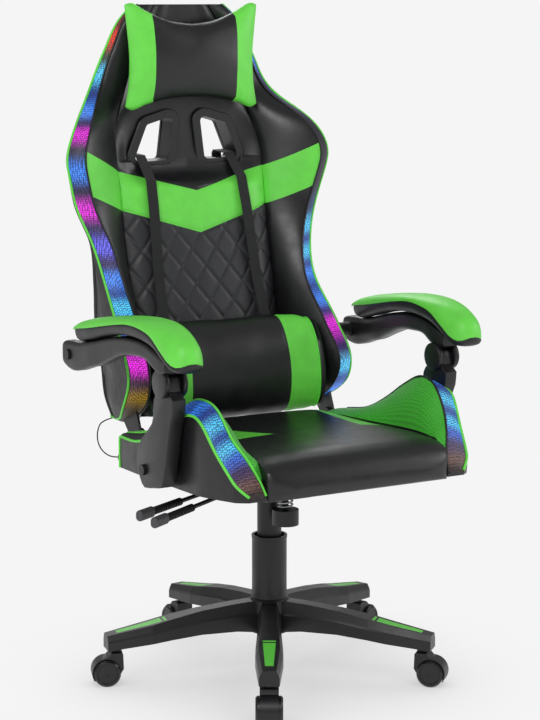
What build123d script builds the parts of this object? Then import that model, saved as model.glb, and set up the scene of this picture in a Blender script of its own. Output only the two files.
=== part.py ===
from build123d import *
import os
from math import cos, degrees, radians, sin, tan

# Gaming chair with light bands: a bucket seat and a reclining back on a gas column
# and a five-star castor base, with armrests that are links between seat and back.
# Millimetres, +Z up. The sitter looks along -Y, so the sitter's right is -X. The
# origin is on the floor under the column's axis.

# ---- driving dimensions -------------------------------------------------------
# base and castors
LEG_COUNT = 5
LEG_YAW = 24.0  # first leg, degrees from +X; one leg then points at 240
LEG_REACH = 320.0  # column axis to a leg's end face
STEM_REACH = 299.0  # column axis to a castor's stem
HUB_R = 37.0
HUB_TOP = 143.0
HUB_FLOOR = 76.0
WHEEL_R = 25.0
WHEEL_TRAIL = 20.0  # stem axis to wheel axle
WHEEL_OUT = 24.5  # half the width over both wheels
HOOD_HALF = 17.0  # half the width of the hood over the treads
STEM_R = 5.5
AXLE_R = 4.0

# column
COVER_R = 33.0
COVER_TOP = 263.0
TUBE_R = 23.0
TUBE_FLOOR = 64.0
TUBE_TOP = 336.0
CYLINDER_R = 14.0
CYLINDER_FLOOR = 84.0
CYLINDER_TOP = 370.0
ROD_R = 5.0

# mechanism under the seat
HOUSING_FLOOR = 350.0
HOUSING_TOP = 388.0
TILT_Y = -78.0  # tilt pivot, forward of the column
TILT_Z = 379.0
TILT_ROOM = 9.0  # degrees that the housing's sloping rim leaves for the tilt
LEVER_Z = 361.0

# seat
SEAT_RAKE = 0.035  # rise towards the front per millimetre
SEAT_UNDER = 403.5  # underside height over the column's axis
SEAT_INNER = 187.0  # half width between the bolsters
PAN_T = 12.0
BAND_T = 4.0  # light bands lie this thick over the bolsters
GAP = 0.3  # between soft pieces sewn side by side

# recline hinge, armrest pivots (all axes along X)
HINGE_Y, HINGE_Z = 128.0, 447.0
TAIL_Y, TAIL_Z = 192.0, 607.0
POST_Y, POST_Z = -69.0, 434.0
KNUCKLE_Y, KNUCKLE_Z = -150.0, 603.0
POST_IN, POST_OUT = 272.0, 298.0  # the post's inner and outer faces
KNUCKLE_R = 26.0
PIN_R = 5.0
OPEN_PIN_CLEARANCE = 2.6  # the knuckle pin's hole in the arm is this much larger

CABLE_R = 1.25

# armrest bracket in the seat bolster
MOUNT_X = 226.0
MOUNT_WIDE = 50.0


# ---- helpers ------------------------------------------------------------------
def section_loft(sections, plane_at):
    """A body through closed outlines, one on each plane, with straight rulings."""
    with BuildPart() as body:
        for place, outline in sections:
            with BuildSketch(plane_at(place)):
                with BuildLine():
                    Polyline(*outline, close=True)
                make_face()
        loft(ruled=True)
    return body


def at_height(z):
    """A level plane whose own axes are X and Y."""
    return Plane.XY.offset(z)


def across(y):
    """An upright plane over Y = y whose own axes are X and Z."""
    return Plane(origin=(0, y, 0), x_dir=(1, 0, 0), z_dir=(0, -1, 0))


def along(x):
    """An upright plane over X = x whose own axes are Y and Z."""
    return Plane.YZ.offset(x)


def side_plate(outline, x_from, x_to):
    """A flat outline in Y and Z, made thick from x_from to x_to."""
    with BuildPart() as plate:
        with BuildSketch(along(x_from)):
            with BuildLine():
                Polyline(*outline, close=True)
            make_face()
        extrude(amount=x_to - x_from)
    return plate


def mirrored(piece):
    """The same piece on the other side of the chair."""
    with BuildPart() as other:
        mirror(piece.part, about=Plane.YZ)
    return other


def save(piece, name):
    piece.part.label = name
    export_step(piece.part, f"parts/{name}.step")


def seat_floor(y):
    """Height of the seat's underside at depth y."""
    return SEAT_UNDER - SEAT_RAKE * y


os.makedirs("parts", exist_ok=True)

# ---- base: hub and five arched legs, hollow underneath --------------------------
# Each row: reach, half width at the top, at the shoulder, at the foot, top, foot.
LEG_ROWS = [
    (20, 14.0, 20.0, 22.5, 139.0, 78.0),
    (70, 13.5, 19.0, 22.0, 136.0, 84.0),
    (140, 14.5, 20.0, 22.5, 128.5, 84.5),
    (200, 18.5, 23.5, 25.0, 118.0, 80.0),
    (235, 19.0, 24.5, 25.5, 110.5, 76.0),
    (LEG_REACH, 12.5, 17.5, 18.5, 96.0, 68.0),
]
LEG_WALL = 3.5


def leg_outline(top_half, shoulder_half, foot_half, top, foot):
    shoulder = top - 0.42 * (top - foot)
    right = [
        (top_half, top),
        (shoulder_half, shoulder + 2),
        (foot_half, shoulder - 2),
        (foot_half, foot),
    ]
    return right + [(-y, z) for y, z in reversed(right)]


with BuildPart() as leg:
    for reach, top_half, shoulder_half, foot_half, top, foot in LEG_ROWS:
        with BuildSketch(along(reach)):
            with BuildLine():
                Polyline(*leg_outline(top_half, shoulder_half, foot_half, top, foot), close=True)
            make_face()
    loft(ruled=True)

with BuildPart() as leg_hollow:
    for reach, top_half, shoulder_half, foot_half, top, foot in LEG_ROWS[1:5]:
        with BuildSketch(along(reach)):
            with BuildLine():
                Polyline(
                    (top_half - LEG_WALL, top - 5),
                    (foot_half - LEG_WALL, foot - 1),
                    (LEG_WALL - foot_half, foot - 1),
                    (LEG_WALL - top_half, top - 5),
                    close=True,
                )
            make_face()
    loft(ruled=True)

with BuildPart() as insert_recess:
    with BuildSketch(Plane.XY.offset(90)):
        with BuildLine():
            Polyline((214, -11.7), (300, -7.5), (300, 7.5), (214, 11.7), close=True)
        make_face()
        with BuildLine():
            Polyline((205, -12.1), (210, -11.9), (210, 11.9), (205, 12.1), close=True)
        make_face()
    extrude(amount=40)

INSERT_DEPTH = 2.5
with BuildPart() as leg_skin:
    for reach, top_half, shoulder_half, foot_half, top, foot in LEG_ROWS[3:]:
        with BuildSketch(along(reach)):
            with Locations((0, top - INSERT_DEPTH / 2)):
                Rectangle(2 * foot_half, INSERT_DEPTH)
    loft(ruled=True)

with BuildPart() as insert:
    add(leg_skin.part)
    add(insert_recess.part, mode=Mode.INTERSECT)

with BuildPart() as base:
    with Locations((0, 0, HUB_FLOOR)):
        Cylinder(HUB_R, HUB_TOP - HUB_FLOOR, align=(Align.CENTER, Align.CENTER, Align.MIN))
    chamfer(base.edges().group_by(Axis.Z)[-1], 4)
    with PolarLocations(0, LEG_COUNT, start_angle=LEG_YAW):
        add(leg.part)
    with PolarLocations(0, LEG_COUNT, start_angle=LEG_YAW):
        add(leg_hollow.part, mode=Mode.SUBTRACT)
    with PolarLocations(0, LEG_COUNT, start_angle=LEG_YAW):
        add(insert.part, mode=Mode.SUBTRACT)
    with Locations((0, 0, TUBE_FLOOR)):
        Cylinder(
            TUBE_R + 0.05,
            HUB_TOP,
            align=(Align.CENTER, Align.CENTER, Align.MIN),
            mode=Mode.SUBTRACT,
        )
    with PolarLocations(STEM_REACH, LEG_COUNT, start_angle=LEG_YAW):
        with Locations((0, 0, 60)):
            Cylinder(
                STEM_R + 0.1,
                31,
                align=(Align.CENTER, Align.CENTER, Align.MIN),
                mode=Mode.SUBTRACT,
            )

with BuildPart() as leg_inserts:
    with PolarLocations(0, LEG_COUNT, start_angle=LEG_YAW):
        add(insert.part)

save(base, "base")
save(leg_inserts, "leg_inserts")

# ---- castors: stem and hood swivel, twin wheels roll ------------------------------
CASTOR_YAWS = [24.0, 92.0, 160.0, 240.0, 313.0]  # the way each castor trails
HOOD_R = WHEEL_R + 3.0
WHEEL_ROOM_R = WHEEL_R + 0.8
HOOD_TOP = 62.0


def castor_frame(number):
    """A castor's own frame: on the floor under its stem, x the way it trails."""
    leg_angle = radians(LEG_YAW + 72.0 * number)
    yaw = radians(CASTOR_YAWS[number])
    return Plane(
        origin=(STEM_REACH * cos(leg_angle), STEM_REACH * sin(leg_angle), 0),
        x_dir=(cos(yaw), sin(yaw), 0),
        z_dir=(0, 0, 1),
    )


with BuildPart() as hood:
    with BuildSketch(Plane.XZ.offset(-HOOD_HALF)):
        with BuildLine():
            rim = CenterArc((WHEEL_TRAIL, WHEEL_R), HOOD_R, -32, 122)
            Polyline(rim @ 1, (WHEEL_TRAIL - 8, HOOD_TOP), (-10, HOOD_TOP), (-11, 32), (-4, 20))
            Line((-4, 20), rim @ 0)
        make_face()
    extrude(amount=2 * HOOD_HALF)
    fillet(hood.edges().filter_by(Axis.Y).group_by(Axis.Z)[-1], 3)
    for side in (-1, 1):
        with Locations(Location((WHEEL_TRAIL, side * (HOOD_HALF / 2 + 1.75), WHEEL_R), (90, 0, 0))):
            Cylinder(WHEEL_ROOM_R, HOOD_HALF - 3.4, mode=Mode.SUBTRACT)
    with Locations(Location((WHEEL_TRAIL, 0, WHEEL_R), (90, 0, 0))):
        Cylinder(AXLE_R + 0.05, 60, mode=Mode.SUBTRACT)
    with Locations((0, 0, HOOD_TOP - 12)):
        Cylinder(STEM_R + 0.05, 30, align=(Align.CENTER, Align.CENTER, Align.MIN), mode=Mode.SUBTRACT)

with BuildPart() as stem:
    with Locations((0, 0, HOOD_TOP - 11.8)):
        Cylinder(STEM_R, 38.8, align=(Align.CENTER, Align.CENTER, Align.MIN))
    with Locations((0, 0, HOOD_TOP + 0.3)):
        Cylinder(9, 3.5, align=(Align.CENTER, Align.CENTER, Align.MIN))
    chamfer(stem.edges().group_by(Axis.Z)[-1], 1.5)

with BuildPart() as wheel:
    with BuildSketch(Plane.XZ):
        with BuildLine():
            Polyline(
                (AXLE_R + 0.05, 4.0),
                (WHEEL_R, 4.0),
                (WHEEL_R, WHEEL_OUT - 3),
                (WHEEL_R - 3, WHEEL_OUT),
                (WHEEL_R - 6, WHEEL_OUT),
                (WHEEL_R - 7, WHEEL_OUT - 1.2),
                (AXLE_R + 0.05, WHEEL_OUT - 1.2),
                close=True,
            )
        make_face()
    revolve(axis=Axis.Z)

with BuildPart() as axle:
    Cylinder(AXLE_R, 2 * WHEEL_OUT - 4)

for number in range(LEG_COUNT):
    frame = castor_frame(number)
    with BuildPart() as housing:
        with Locations(frame.location):
            add(hood.part)
            add(stem.part)
    save(housing, f"castor_{number + 1}_housing")
    with BuildPart() as wheels:
        with Locations(frame.location * Location((WHEEL_TRAIL, 0, WHEEL_R), (90, 0, 0))):
            add(wheel.part)
            add(axle.part)
        with Locations(frame.location * Location((WHEEL_TRAIL, 0, WHEEL_R), (-90, 0, 0))):
            add(wheel.part)
    save(wheels, f"castor_{number + 1}_wheels")

# ---- column: cover, standing tube, bearings, rod and pressure cylinder ---------------
with BuildPart() as column_cover:
    with BuildSketch(Plane.XZ):
        with BuildLine():
            Polyline(
                (COVER_R - 3, HUB_TOP + 0.2),
                (COVER_R + 1.5, HUB_TOP + 0.2),
                (COVER_R, HUB_TOP + 8),
                (COVER_R, COVER_TOP - 7),
                (COVER_R + 0.8, COVER_TOP - 5),
                (COVER_R + 0.8, COVER_TOP),
                (COVER_R - 4, COVER_TOP),
                (COVER_R - 4, COVER_TOP - 3),
                (COVER_R - 3, COVER_TOP - 4),
                close=True,
            )
        make_face()
    revolve(axis=Axis.Z)

with BuildPart() as standing_tube:
    with BuildSketch(Plane.XZ):
        with BuildLine():
            Polyline(
                (7, TUBE_FLOOR),
                (TUBE_R, TUBE_FLOOR),
                (TUBE_R, TUBE_TOP - 2),
                (TUBE_R - 1, TUBE_TOP),
                (TUBE_R - 2.5, TUBE_TOP),
                (TUBE_R - 2.5, TUBE_FLOOR + 3),
                (7, TUBE_FLOOR + 3),
                close=True,
            )
        make_face()
    revolve(axis=Axis.Z)

BUSH_LENGTH = 60.0
with BuildPart() as column_bearings:
    with Locations((0, 0, TUBE_TOP - BUSH_LENGTH)):
        Cylinder(TUBE_R - 2.55, BUSH_LENGTH, align=(Align.CENTER, Align.CENTER, Align.MIN))
        Cylinder(
            CYLINDER_R + 0.08,
            BUSH_LENGTH,
            align=(Align.CENTER, Align.CENTER, Align.MIN),
            mode=Mode.SUBTRACT,
        )
    with Locations((0, 0, TUBE_FLOOR + 3)):
        Cylinder(13, 5, align=(Align.CENTER, Align.CENTER, Align.MIN))
        Cylinder(ROD_R + 0.1, 5, align=(Align.CENTER, Align.CENTER, Align.MIN), mode=Mode.SUBTRACT)

PISTON_Z = 250.0
with BuildPart() as gas_rod:
    with BuildSketch(Plane.XZ):
        with BuildLine():
            Polyline(
                (0, TUBE_FLOOR - 1.5),
                (4, TUBE_FLOOR - 1.5),
                (4, TUBE_FLOOR - 0.5),
                (ROD_R, TUBE_FLOOR),
                (ROD_R, TUBE_FLOOR + 8.3),
                (9, TUBE_FLOOR + 8.3),
                (9, TUBE_FLOOR + 11),
                (ROD_R, TUBE_FLOOR + 11),
                (ROD_R, PISTON_Z),
                (11.9, PISTON_Z),
                (11.9, PISTON_Z + 12),
                (0, PISTON_Z + 12),
                close=True,
            )
        make_face()
    revolve(axis=Axis.Z)

with BuildPart() as pressure_cylinder:
    with BuildSketch(Plane.XZ):
        with BuildLine():
            Polyline(
                (ROD_R + 0.1, CYLINDER_FLOOR),
                (CYLINDER_R, CYLINDER_FLOOR),
                (CYLINDER_R, HOUSING_FLOOR),
                (CYLINDER_R - 1, CYLINDER_TOP),
                (4, CYLINDER_TOP),
                (4, CYLINDER_TOP + 5),
                (0, CYLINDER_TOP + 5),
                (0, CYLINDER_TOP - 12),
                (12, CYLINDER_TOP - 12),
                (12, CYLINDER_FLOOR + 12),
                (ROD_R + 0.1, CYLINDER_FLOOR + 12),
                close=True,
            )
        make_face()
    revolve(axis=Axis.Z)

save(column_cover, "column_cover")
save(standing_tube, "standing_tube")
save(column_bearings, "column_bearings")
save(gas_rod, "gas_rod")
save(pressure_cylinder, "pressure_cylinder")

# ---- tilt mechanism: pressed steel housing, spring and tension knob -------------------
HOUSING_HALF = 44.0
HOUSING_FRONT = -96.0
HOUSING_REAR = 74.0
SPRING_Y = -60.0
SPRING_FLOOR = 323.0
SHEET_T = 3.0
SOCKET_R = 21.0

with BuildPart() as mechanism_housing:
    with BuildSketch(Plane.XY.offset(HOUSING_FLOOR)):
        with Locations((0, (HOUSING_FRONT + HOUSING_REAR) / 2)):
            RectangleRounded(2 * HOUSING_HALF, HOUSING_REAR - HOUSING_FRONT, 14)
    extrude(amount=HOUSING_TOP - HOUSING_FLOOR)
    offset(amount=-SHEET_T, openings=mechanism_housing.faces().sort_by(Axis.Z)[-1])
    with Locations((0, 0, HOUSING_FLOOR - 8)):
        Cylinder(SOCKET_R, 26, align=(Align.CENTER, Align.CENTER, Align.MIN))
        Cylinder(
            CYLINDER_R + 0.05,
            60,
            align=(Align.CENTER, Align.CENTER, Align.MIN),
            mode=Mode.SUBTRACT,
        )
    with Locations((0, SPRING_Y, HOUSING_FLOOR - 2)):
        Cylinder(6.5, 10, align=(Align.CENTER, Align.CENTER, Align.MIN), mode=Mode.SUBTRACT)
    with Locations(Location((0, TILT_Y, TILT_Z), (0, 90, 0))):
        Cylinder(5.1, 2 * HOUSING_HALF + 2, mode=Mode.SUBTRACT)
    for lever_y in (-14.0, 28.0):
        with Locations(Location((-HOUSING_HALF, lever_y, LEVER_Z), (0, 90, 0))):
            Cylinder(5.3, 12, mode=Mode.SUBTRACT)
    rim_plane = Plane(
        origin=(0, TILT_Y + 12, HOUSING_TOP),
        x_dir=(1, 0, 0),
        z_dir=(0, sin(radians(TILT_ROOM)), cos(radians(TILT_ROOM))),
    )
    split(bisect_by=rim_plane, keep=Keep.BOTTOM)

# The tension spring stands between the housing's floor and the knob's plate.
with BuildPart() as tension_spring:
    with BuildLine():
        Helix(pitch=7.0, height=21.0, radius=13.0, center=(0, SPRING_Y, SPRING_FLOOR + 3.5))
    with BuildSketch(Plane(origin=(13.0, SPRING_Y, SPRING_FLOOR + 3.5), z_dir=(0, 1, 0))):
        Circle(2.0)
    sweep()

with BuildPart() as tension_knob:
    with Locations((0, SPRING_Y, SPRING_FLOOR - 28)):
        Cylinder(25, 29, align=(Align.CENTER, Align.CENTER, Align.MIN))
    with PolarLocations(25.5, 12):
        with Locations((0, SPRING_Y, SPRING_FLOOR - 28)):
            Cylinder(3, 24, align=(Align.CENTER, Align.CENTER, Align.MIN), mode=Mode.SUBTRACT)
    with Locations((0, SPRING_Y, SPRING_FLOOR)):
        Cylinder(6, HOUSING_FLOOR + 12 - SPRING_FLOOR, align=(Align.CENTER, Align.CENTER, Align.MIN))

save(mechanism_housing, "mechanism_housing")
save(tension_spring, "tension_spring")
save(tension_knob, "tension_knob")

# ---- two levers: steel rod, ribbed rubber sleeve, moulded grip ---------------------------
LEVER_TIP = {"lift": (-331.0, -112.0, 362.0), "tilt": (-331.0, -170.0, 362.0)}
LEVER_ROOT = {"lift": (-36.0, 28.0, LEVER_Z), "tilt": (-36.0, -14.0, LEVER_Z)}
LEVER_R = 4.0
SLEEVE_R = 7.2
GRIP_LENGTH = 44.0
SLEEVE_LENGTH = 92.0

for name in ("lift", "tilt"):
    root = Vector(*LEVER_ROOT[name])
    tip = Vector(*LEVER_TIP[name])
    elbow = Vector(root.X - 44, root.Y, root.Z)
    way = (tip - elbow).normalized()
    reach = (tip - elbow).length
    with BuildPart() as lever_rod:
        with BuildLine():
            FilletPolyline(root, elbow, elbow + way * (reach - 12), radius=26)
        with BuildSketch(Plane(origin=root, z_dir=(-1, 0, 0))):
            Circle(LEVER_R)
        sweep()
    save(lever_rod, f"{name}_lever_rod")

    grip_start = tip - way * GRIP_LENGTH
    sleeve_start = grip_start - way * (SLEEVE_LENGTH + 1)
    with BuildPart() as lever_sleeve:
        for ring in range(23):
            ring_plane = Plane(origin=sleeve_start + way * (4 * ring), z_dir=way)
            with BuildSketch(ring_plane):
                Circle(SLEEVE_R if ring % 2 else SLEEVE_R - 1.8)
                Circle(LEVER_R + 0.05, mode=Mode.SUBTRACT)
            extrude(amount=4)
    save(lever_sleeve, f"{name}_lever_sleeve")

    with BuildPart() as lever_grip:
        with BuildSketch(Plane(origin=grip_start, x_dir=(0, 0, 1), z_dir=way)):
            SlotOverall(20, 15)
        extrude(amount=GRIP_LENGTH)
        fillet(lever_grip.edges().filter_by(GeomType.LINE, reverse=True), 4)
        with BuildSketch(Plane(origin=grip_start - way, z_dir=way)):
            Circle(LEVER_R + 0.05)
        extrude(amount=GRIP_LENGTH - 9, mode=Mode.SUBTRACT)
    save(lever_grip, f"{name}_lever_grip")

# ---- seat plate, pan and hinge plates ---------------------------------------------------
PLATE_TOP = 392.5
PLATE_T = 2.5
with BuildPart() as seat_plate:
    with BuildSketch(Plane.XY.offset(PLATE_TOP - PLATE_T)):
        with Locations((0, -12)):
            RectangleRounded(210, 220, 12)
            with GridLocations(150, 180, 2, 2):
                Circle(3.4, mode=Mode.SUBTRACT)
    extrude(amount=PLATE_T)
    for side in (-1, 1):
        with BuildSketch(along(side * (HOUSING_HALF + 1.0))):
            with Locations((TILT_Y, (TILT_Z - 9 + PLATE_TOP) / 2)):
                Rectangle(40, PLATE_TOP - TILT_Z + 9)
        extrude(amount=side * SHEET_T)
    with Locations(Location((0, TILT_Y, TILT_Z), (0, 90, 0))):
        Cylinder(5.0, 2 * HOUSING_HALF + 12)

# Four spacers carry the level plate on the raked pan.
with BuildPart() as plate_spacers:
    with Locations((0, -12)):
        with GridLocations(150, 180, 2, 2):
            with Locations((0, 0, PLATE_TOP + 0.05)):
                Cylinder(9, 30, align=(Align.CENTER, Align.CENTER, Align.MIN))
    pan_floor = Plane(
        origin=(0, 0, SEAT_UNDER - 0.05), x_dir=(1, 0, 0), z_dir=(0, SEAT_RAKE, 1)
    )
    split(bisect_by=pan_floor, keep=Keep.BOTTOM)

PAN_FRONT, PAN_REAR = -290.0, 104.0
pan_outline = [
    (PAN_REAR, seat_floor(PAN_REAR)),
    (PAN_FRONT, seat_floor(PAN_FRONT)),
    (PAN_FRONT, seat_floor(PAN_FRONT) + PAN_T),
    (PAN_REAR, seat_floor(PAN_REAR) + PAN_T),
]
seat_pan = side_plate(pan_outline, -(SEAT_INNER - 1), SEAT_INNER - 1)

with BuildPart() as plate_and_spacers:
    add(seat_plate.part)
    add(plate_spacers.part)
save(plate_and_spacers, "seat_plate")
save(seat_pan, "seat_pan")

# ---- recline hinge: plates on the seat, arms on the back, pins between ---------------------
ARM_END_Y, ARM_END_Z = 256.0, 560.0  # where a hinge arm meets the frame's cross tube
PLATE_X = 202.0
HINGE_PLATE_T = 5.0
HINGE_ARM_X = PLATE_X + HINGE_PLATE_T + 2.5
HINGE_PIN_R = 6.0

with BuildPart() as plate_right:
    with BuildSketch(along(PLATE_X)):
        with Locations((HINGE_Y, HINGE_Z)):
            Circle(19)
        with Locations((62, seat_floor(62) + 4), (8, seat_floor(8) + 4)):
            Circle(8)
        make_hull()
        with Locations((HINGE_Y, HINGE_Z)):
            Circle(HINGE_PIN_R + 0.02, mode=Mode.SUBTRACT)
    extrude(amount=HINGE_PLATE_T)
    with BuildSketch(along(150)):
        with BuildLine():
            Polyline(
                (90, seat_floor(90) - 0.2),
                (-10, seat_floor(-10) - 0.2),
                (-10, seat_floor(-10) - 4.2),
                (90, seat_floor(90) - 4.2),
                close=True,
            )
        make_face()
    extrude(amount=PLATE_X + HINGE_PLATE_T - 150)

with BuildPart() as hinge_plates:
    add(plate_right.part)
    mirror(plate_right.part, about=Plane.YZ)

with BuildPart() as arm_right:
    with BuildSketch(along(HINGE_ARM_X)):
        with Locations((HINGE_Y, HINGE_Z)):
            Circle(19)
        with Locations((ARM_END_Y, ARM_END_Z), (TAIL_Y, TAIL_Z)):
            Circle(15)
        make_hull()
        with Locations((HINGE_Y, HINGE_Z)):
            Circle(HINGE_PIN_R + 0.1, mode=Mode.SUBTRACT)
        with Locations((TAIL_Y, TAIL_Z)):
            Circle(PIN_R + 0.05, mode=Mode.SUBTRACT)
    extrude(amount=HINGE_PLATE_T)

with BuildPart() as hinge_arms:
    add(arm_right.part)
    mirror(arm_right.part, about=Plane.YZ)

with BuildPart() as pin_right:
    with Locations(Location((PLATE_X - 4, HINGE_Y, HINGE_Z), (0, 90, 0))):
        Cylinder(HINGE_PIN_R, 24, align=(Align.CENTER, Align.CENTER, Align.MIN))
    with Locations(Location((PLATE_X - 5.2, HINGE_Y, HINGE_Z), (0, 90, 0))):
        Cylinder(9, 5, align=(Align.CENTER, Align.CENTER, Align.MIN))
    with Locations(Location((HINGE_ARM_X + HINGE_PLATE_T + 0.6, HINGE_Y, HINGE_Z), (0, 90, 0))):
        Cylinder(9, 4, align=(Align.CENTER, Align.CENTER, Align.MIN))

with BuildPart() as hinge_pins:
    add(pin_right.part)
    mirror(pin_right.part, about=Plane.YZ)

save(hinge_plates, "hinge_plates")
save(hinge_arms, "hinge_arms")
save(hinge_pins, "hinge_pins")

# ---- seat foam: cushion, bolsters and the light bands over them ------------------------------
# Each row: y, bolster's outer x, height of its outer piping, ridge x, ridge height,
# height where it meets the cushion. The last rows are the bolster's falling front.
BOLSTER_ROWS = [
    (112, 258, 459, 242, 464, 462),
    (30, 262, 464, 240, 480, 468),
    (-40, 263, 486, 238, 512, 472),
    (-100, 264, 522, 236, 546, 476),
    (-165, 265, 546, 233, 571, 480),
    (-221, 263, 540, 227, 556, 482),
    (-258, 254, 492, 221, 512, 480),
    (-285, 246, 462, 206, 480, 474),
    (-304, 238, 440, 193, 446, 440),
    (-317, 222, 424, 189, 424, 422),
]
band_sections = []
bolster_sections = []
for y, outer, piping, ridge_x, ridge, inner in BOLSTER_ROWS:
    floor_z = seat_floor(y)
    drop = BAND_T + GAP
    band_sections.append(
        (y, [(outer, piping), (ridge_x, ridge), (ridge_x, ridge - BAND_T), (outer, piping - BAND_T)])
    )
    bolster_sections.append(
        (
            y,
            [
                (outer, floor_z),
                (outer, piping - drop),
                (ridge_x, ridge - drop),
                (SEAT_INNER, min(inner, ridge - drop - 0.5)),
                (SEAT_INNER, floor_z),
            ],
        )
    )

seat_light_left = section_loft(band_sections, across)
with BuildPart() as seat_bolster_left:
    add(section_loft(bolster_sections, across).part)
    with BuildSketch(along(PLATE_X - 8)):  # room for the hinge plate and arm
        with BuildLine():
            Polyline(
                (-20, 390), (-20, 424), (10, 427), (60, 446), (100, 462), (100, 490), (130, 490),
                (130, 390),
                close=True,
            )
        make_face()
    extrude(amount=28, mode=Mode.SUBTRACT)
    with BuildSketch(along(MOUNT_X - 7)):  # room for the armrest's bracket
        with Locations((POST_Y, 423)):
            Rectangle(MOUNT_WIDE + 4, 68)
    extrude(amount=12.5, mode=Mode.SUBTRACT)
    with Locations(Location((MOUNT_X, POST_Y, POST_Z), (0, 90, 0))):
        Cylinder(PIN_R + 1, 60, align=(Align.CENTER, Align.CENTER, Align.MIN), mode=Mode.SUBTRACT)

# Each row: y, top, bottom above the pan or in front of it, half width.
CUSHION_ROWS = [
    (112, 461, seat_floor(112) + PAN_T + GAP, 1.0),
    (30, 468, seat_floor(30) + PAN_T + GAP, 1.0),
    (-60, 475, seat_floor(-60) + PAN_T + GAP, 1.0),
    (-165, 482, seat_floor(-165) + PAN_T + GAP, 1.0),
    (-240, 484, seat_floor(-240) + PAN_T + GAP, 1.0),
    (-290.3, 480, seat_floor(-290.3) + PAN_T + GAP, 1.0),
    (-290.6, 480, 409, 1.0),
    (-308, 473, 409, 1.0),
    (-319, 464, 412, 0.99),
    (-328, 451, 418, 0.86),
    (-334, 438, 428, 0.6),
]
cushion_sections = []
for y, top, bottom, wide in CUSHION_ROWS:
    half = (SEAT_INNER - GAP) * wide
    cushion_sections.append(
        (y, [(half, bottom), (half, top - 6), (0, top), (-half, top - 6), (-half, bottom)])
    )
seat_cushion = section_loft(cushion_sections, across)

save(seat_cushion, "seat_cushion")
save(seat_bolster_left, "seat_bolster_left")
save(mirrored(seat_bolster_left), "seat_bolster_right")
save(seat_light_left, "seat_light_left")
save(mirrored(seat_light_left), "seat_light_right")

# ---- armrest mounts on the seat: bracket, bolt, spacer and nut on each side -------------------
with BuildPart() as mount_left:
    with BuildSketch(along(MOUNT_X)):
        with Locations((POST_Y, POST_Z)):
            Circle(MOUNT_WIDE / 2 - 4)
        with Locations((POST_Y, seat_floor(POST_Y) - 1)):
            Rectangle(MOUNT_WIDE, 6)
        make_hull()
        with Locations((POST_Y, POST_Z)):
            Circle(PIN_R + 0.05, mode=Mode.SUBTRACT)
    extrude(amount=4)
    mount_foot = side_plate(
        [
            (POST_Y + side * MOUNT_WIDE / 2, seat_floor(POST_Y + side * MOUNT_WIDE / 2) - drop)
            for side, drop in ((1, 0.2), (-1, 0.2), (-1, 4.2), (1, 4.2))
        ],
        150,
        MOUNT_X + 4,
    )
    add(mount_foot.part)

with BuildPart() as bolt_left:
    with Locations(Location((MOUNT_X - 5, POST_Y, POST_Z), (0, 90, 0))):
        Cylinder(PIN_R, POST_OUT + 6 - MOUNT_X, align=(Align.CENTER, Align.CENTER, Align.MIN))
    with Locations(Location((MOUNT_X - 5, POST_Y, POST_Z), (0, 90, 0))):
        Cylinder(9, 4.8, align=(Align.CENTER, Align.CENTER, Align.MIN))
    with Locations(Location((266.2, POST_Y, POST_Z), (0, 90, 0))):
        Cylinder(12, POST_IN - 0.4 - 266.2, align=(Align.CENTER, Align.CENTER, Align.MIN))
    with Locations(Location((POST_OUT + 0.5, POST_Y, POST_Z), (0, 90, 0))):
        Cylinder(10, 5, align=(Align.CENTER, Align.CENTER, Align.MIN))

with BuildPart() as post_mounts:
    add(mount_left.part)
    add(bolt_left.part)
    mirror(mount_left.part, about=Plane.YZ)
    mirror(bolt_left.part, about=Plane.YZ)

save(post_mounts, "post_mounts")

# ---- back: one table of level sections ----------------------------------------------------------
# rim: outer edge of the wing. inward, forward: from the rim to the band's other edge.
# seam: where wing and middle cushion meet. middle: cushion's front. rear: shell's rear.
# corner: where the wing's outer side meets the shell.
#   z, rim x, rim y, inward, forward, seam x, seam y, middle, rear, corner x, corner y
BACK_ROWS = [
    (466, 213, 203, 10, 20, 160, 215, 205, 295, 205, 255),
    (500, 238, 140, 36, 18, 160, 212, 204, 303, 212, 268),
    (560, 243, 100, 36, 18, 160, 214, 205, 315, 214, 280),
    (640, 237, 150, 36, 18, 160, 240, 224, 330, 218, 297),
    (720, 229, 219, 31, 19, 160, 258, 246, 340, 226, 284),
    (800, 240, 252, 29, 20, 160, 277, 266, 348, 238, 272),
    (880, 268, 270, 28, 22, 160, 290, 281, 358, 262, 290),
    (905, 275, 267, 28, 22, 160, 294, 290, 362, 267, 288),
    (928, 281, 264, 28, 22, 160, 300, 321, 366, 271, 286),
    (958, 287, 262, 28, 22, 160, 306, 330, 370, 276, 285),
    (1025, 258, 284, 24, 18, 150, 326, 334, 374, 245, 308),
    (1075, 208, 341, 18, 12, 130, 339, 336, 376, 196, 358),
    (1163, 161, 357, 12, 8, 100, 341, 340, 380, 150, 368),
    (1235, 118, 355, 8, 6, 70, 341, 340, 376, 108, 366),
    (1251, 98, 357, 7, 5, 60, 343, 342, 371, 89, 364),
]
SHELL_T = 5.0
FRAME_R = 7.0
FRAME_X = 144.0
FRAME_ROOM = 2 * FRAME_R + 1.5  # between the foam and the shell


def rear_at(z):
    """Depth of the shell's rear face at height z."""
    for low, high in zip(BACK_ROWS, BACK_ROWS[1:]):
        if low[0] <= z <= high[0]:
            return low[8] + (high[8] - low[8]) * (z - low[0]) / (high[0] - low[0])
    return BACK_ROWS[-1][8]


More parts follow.
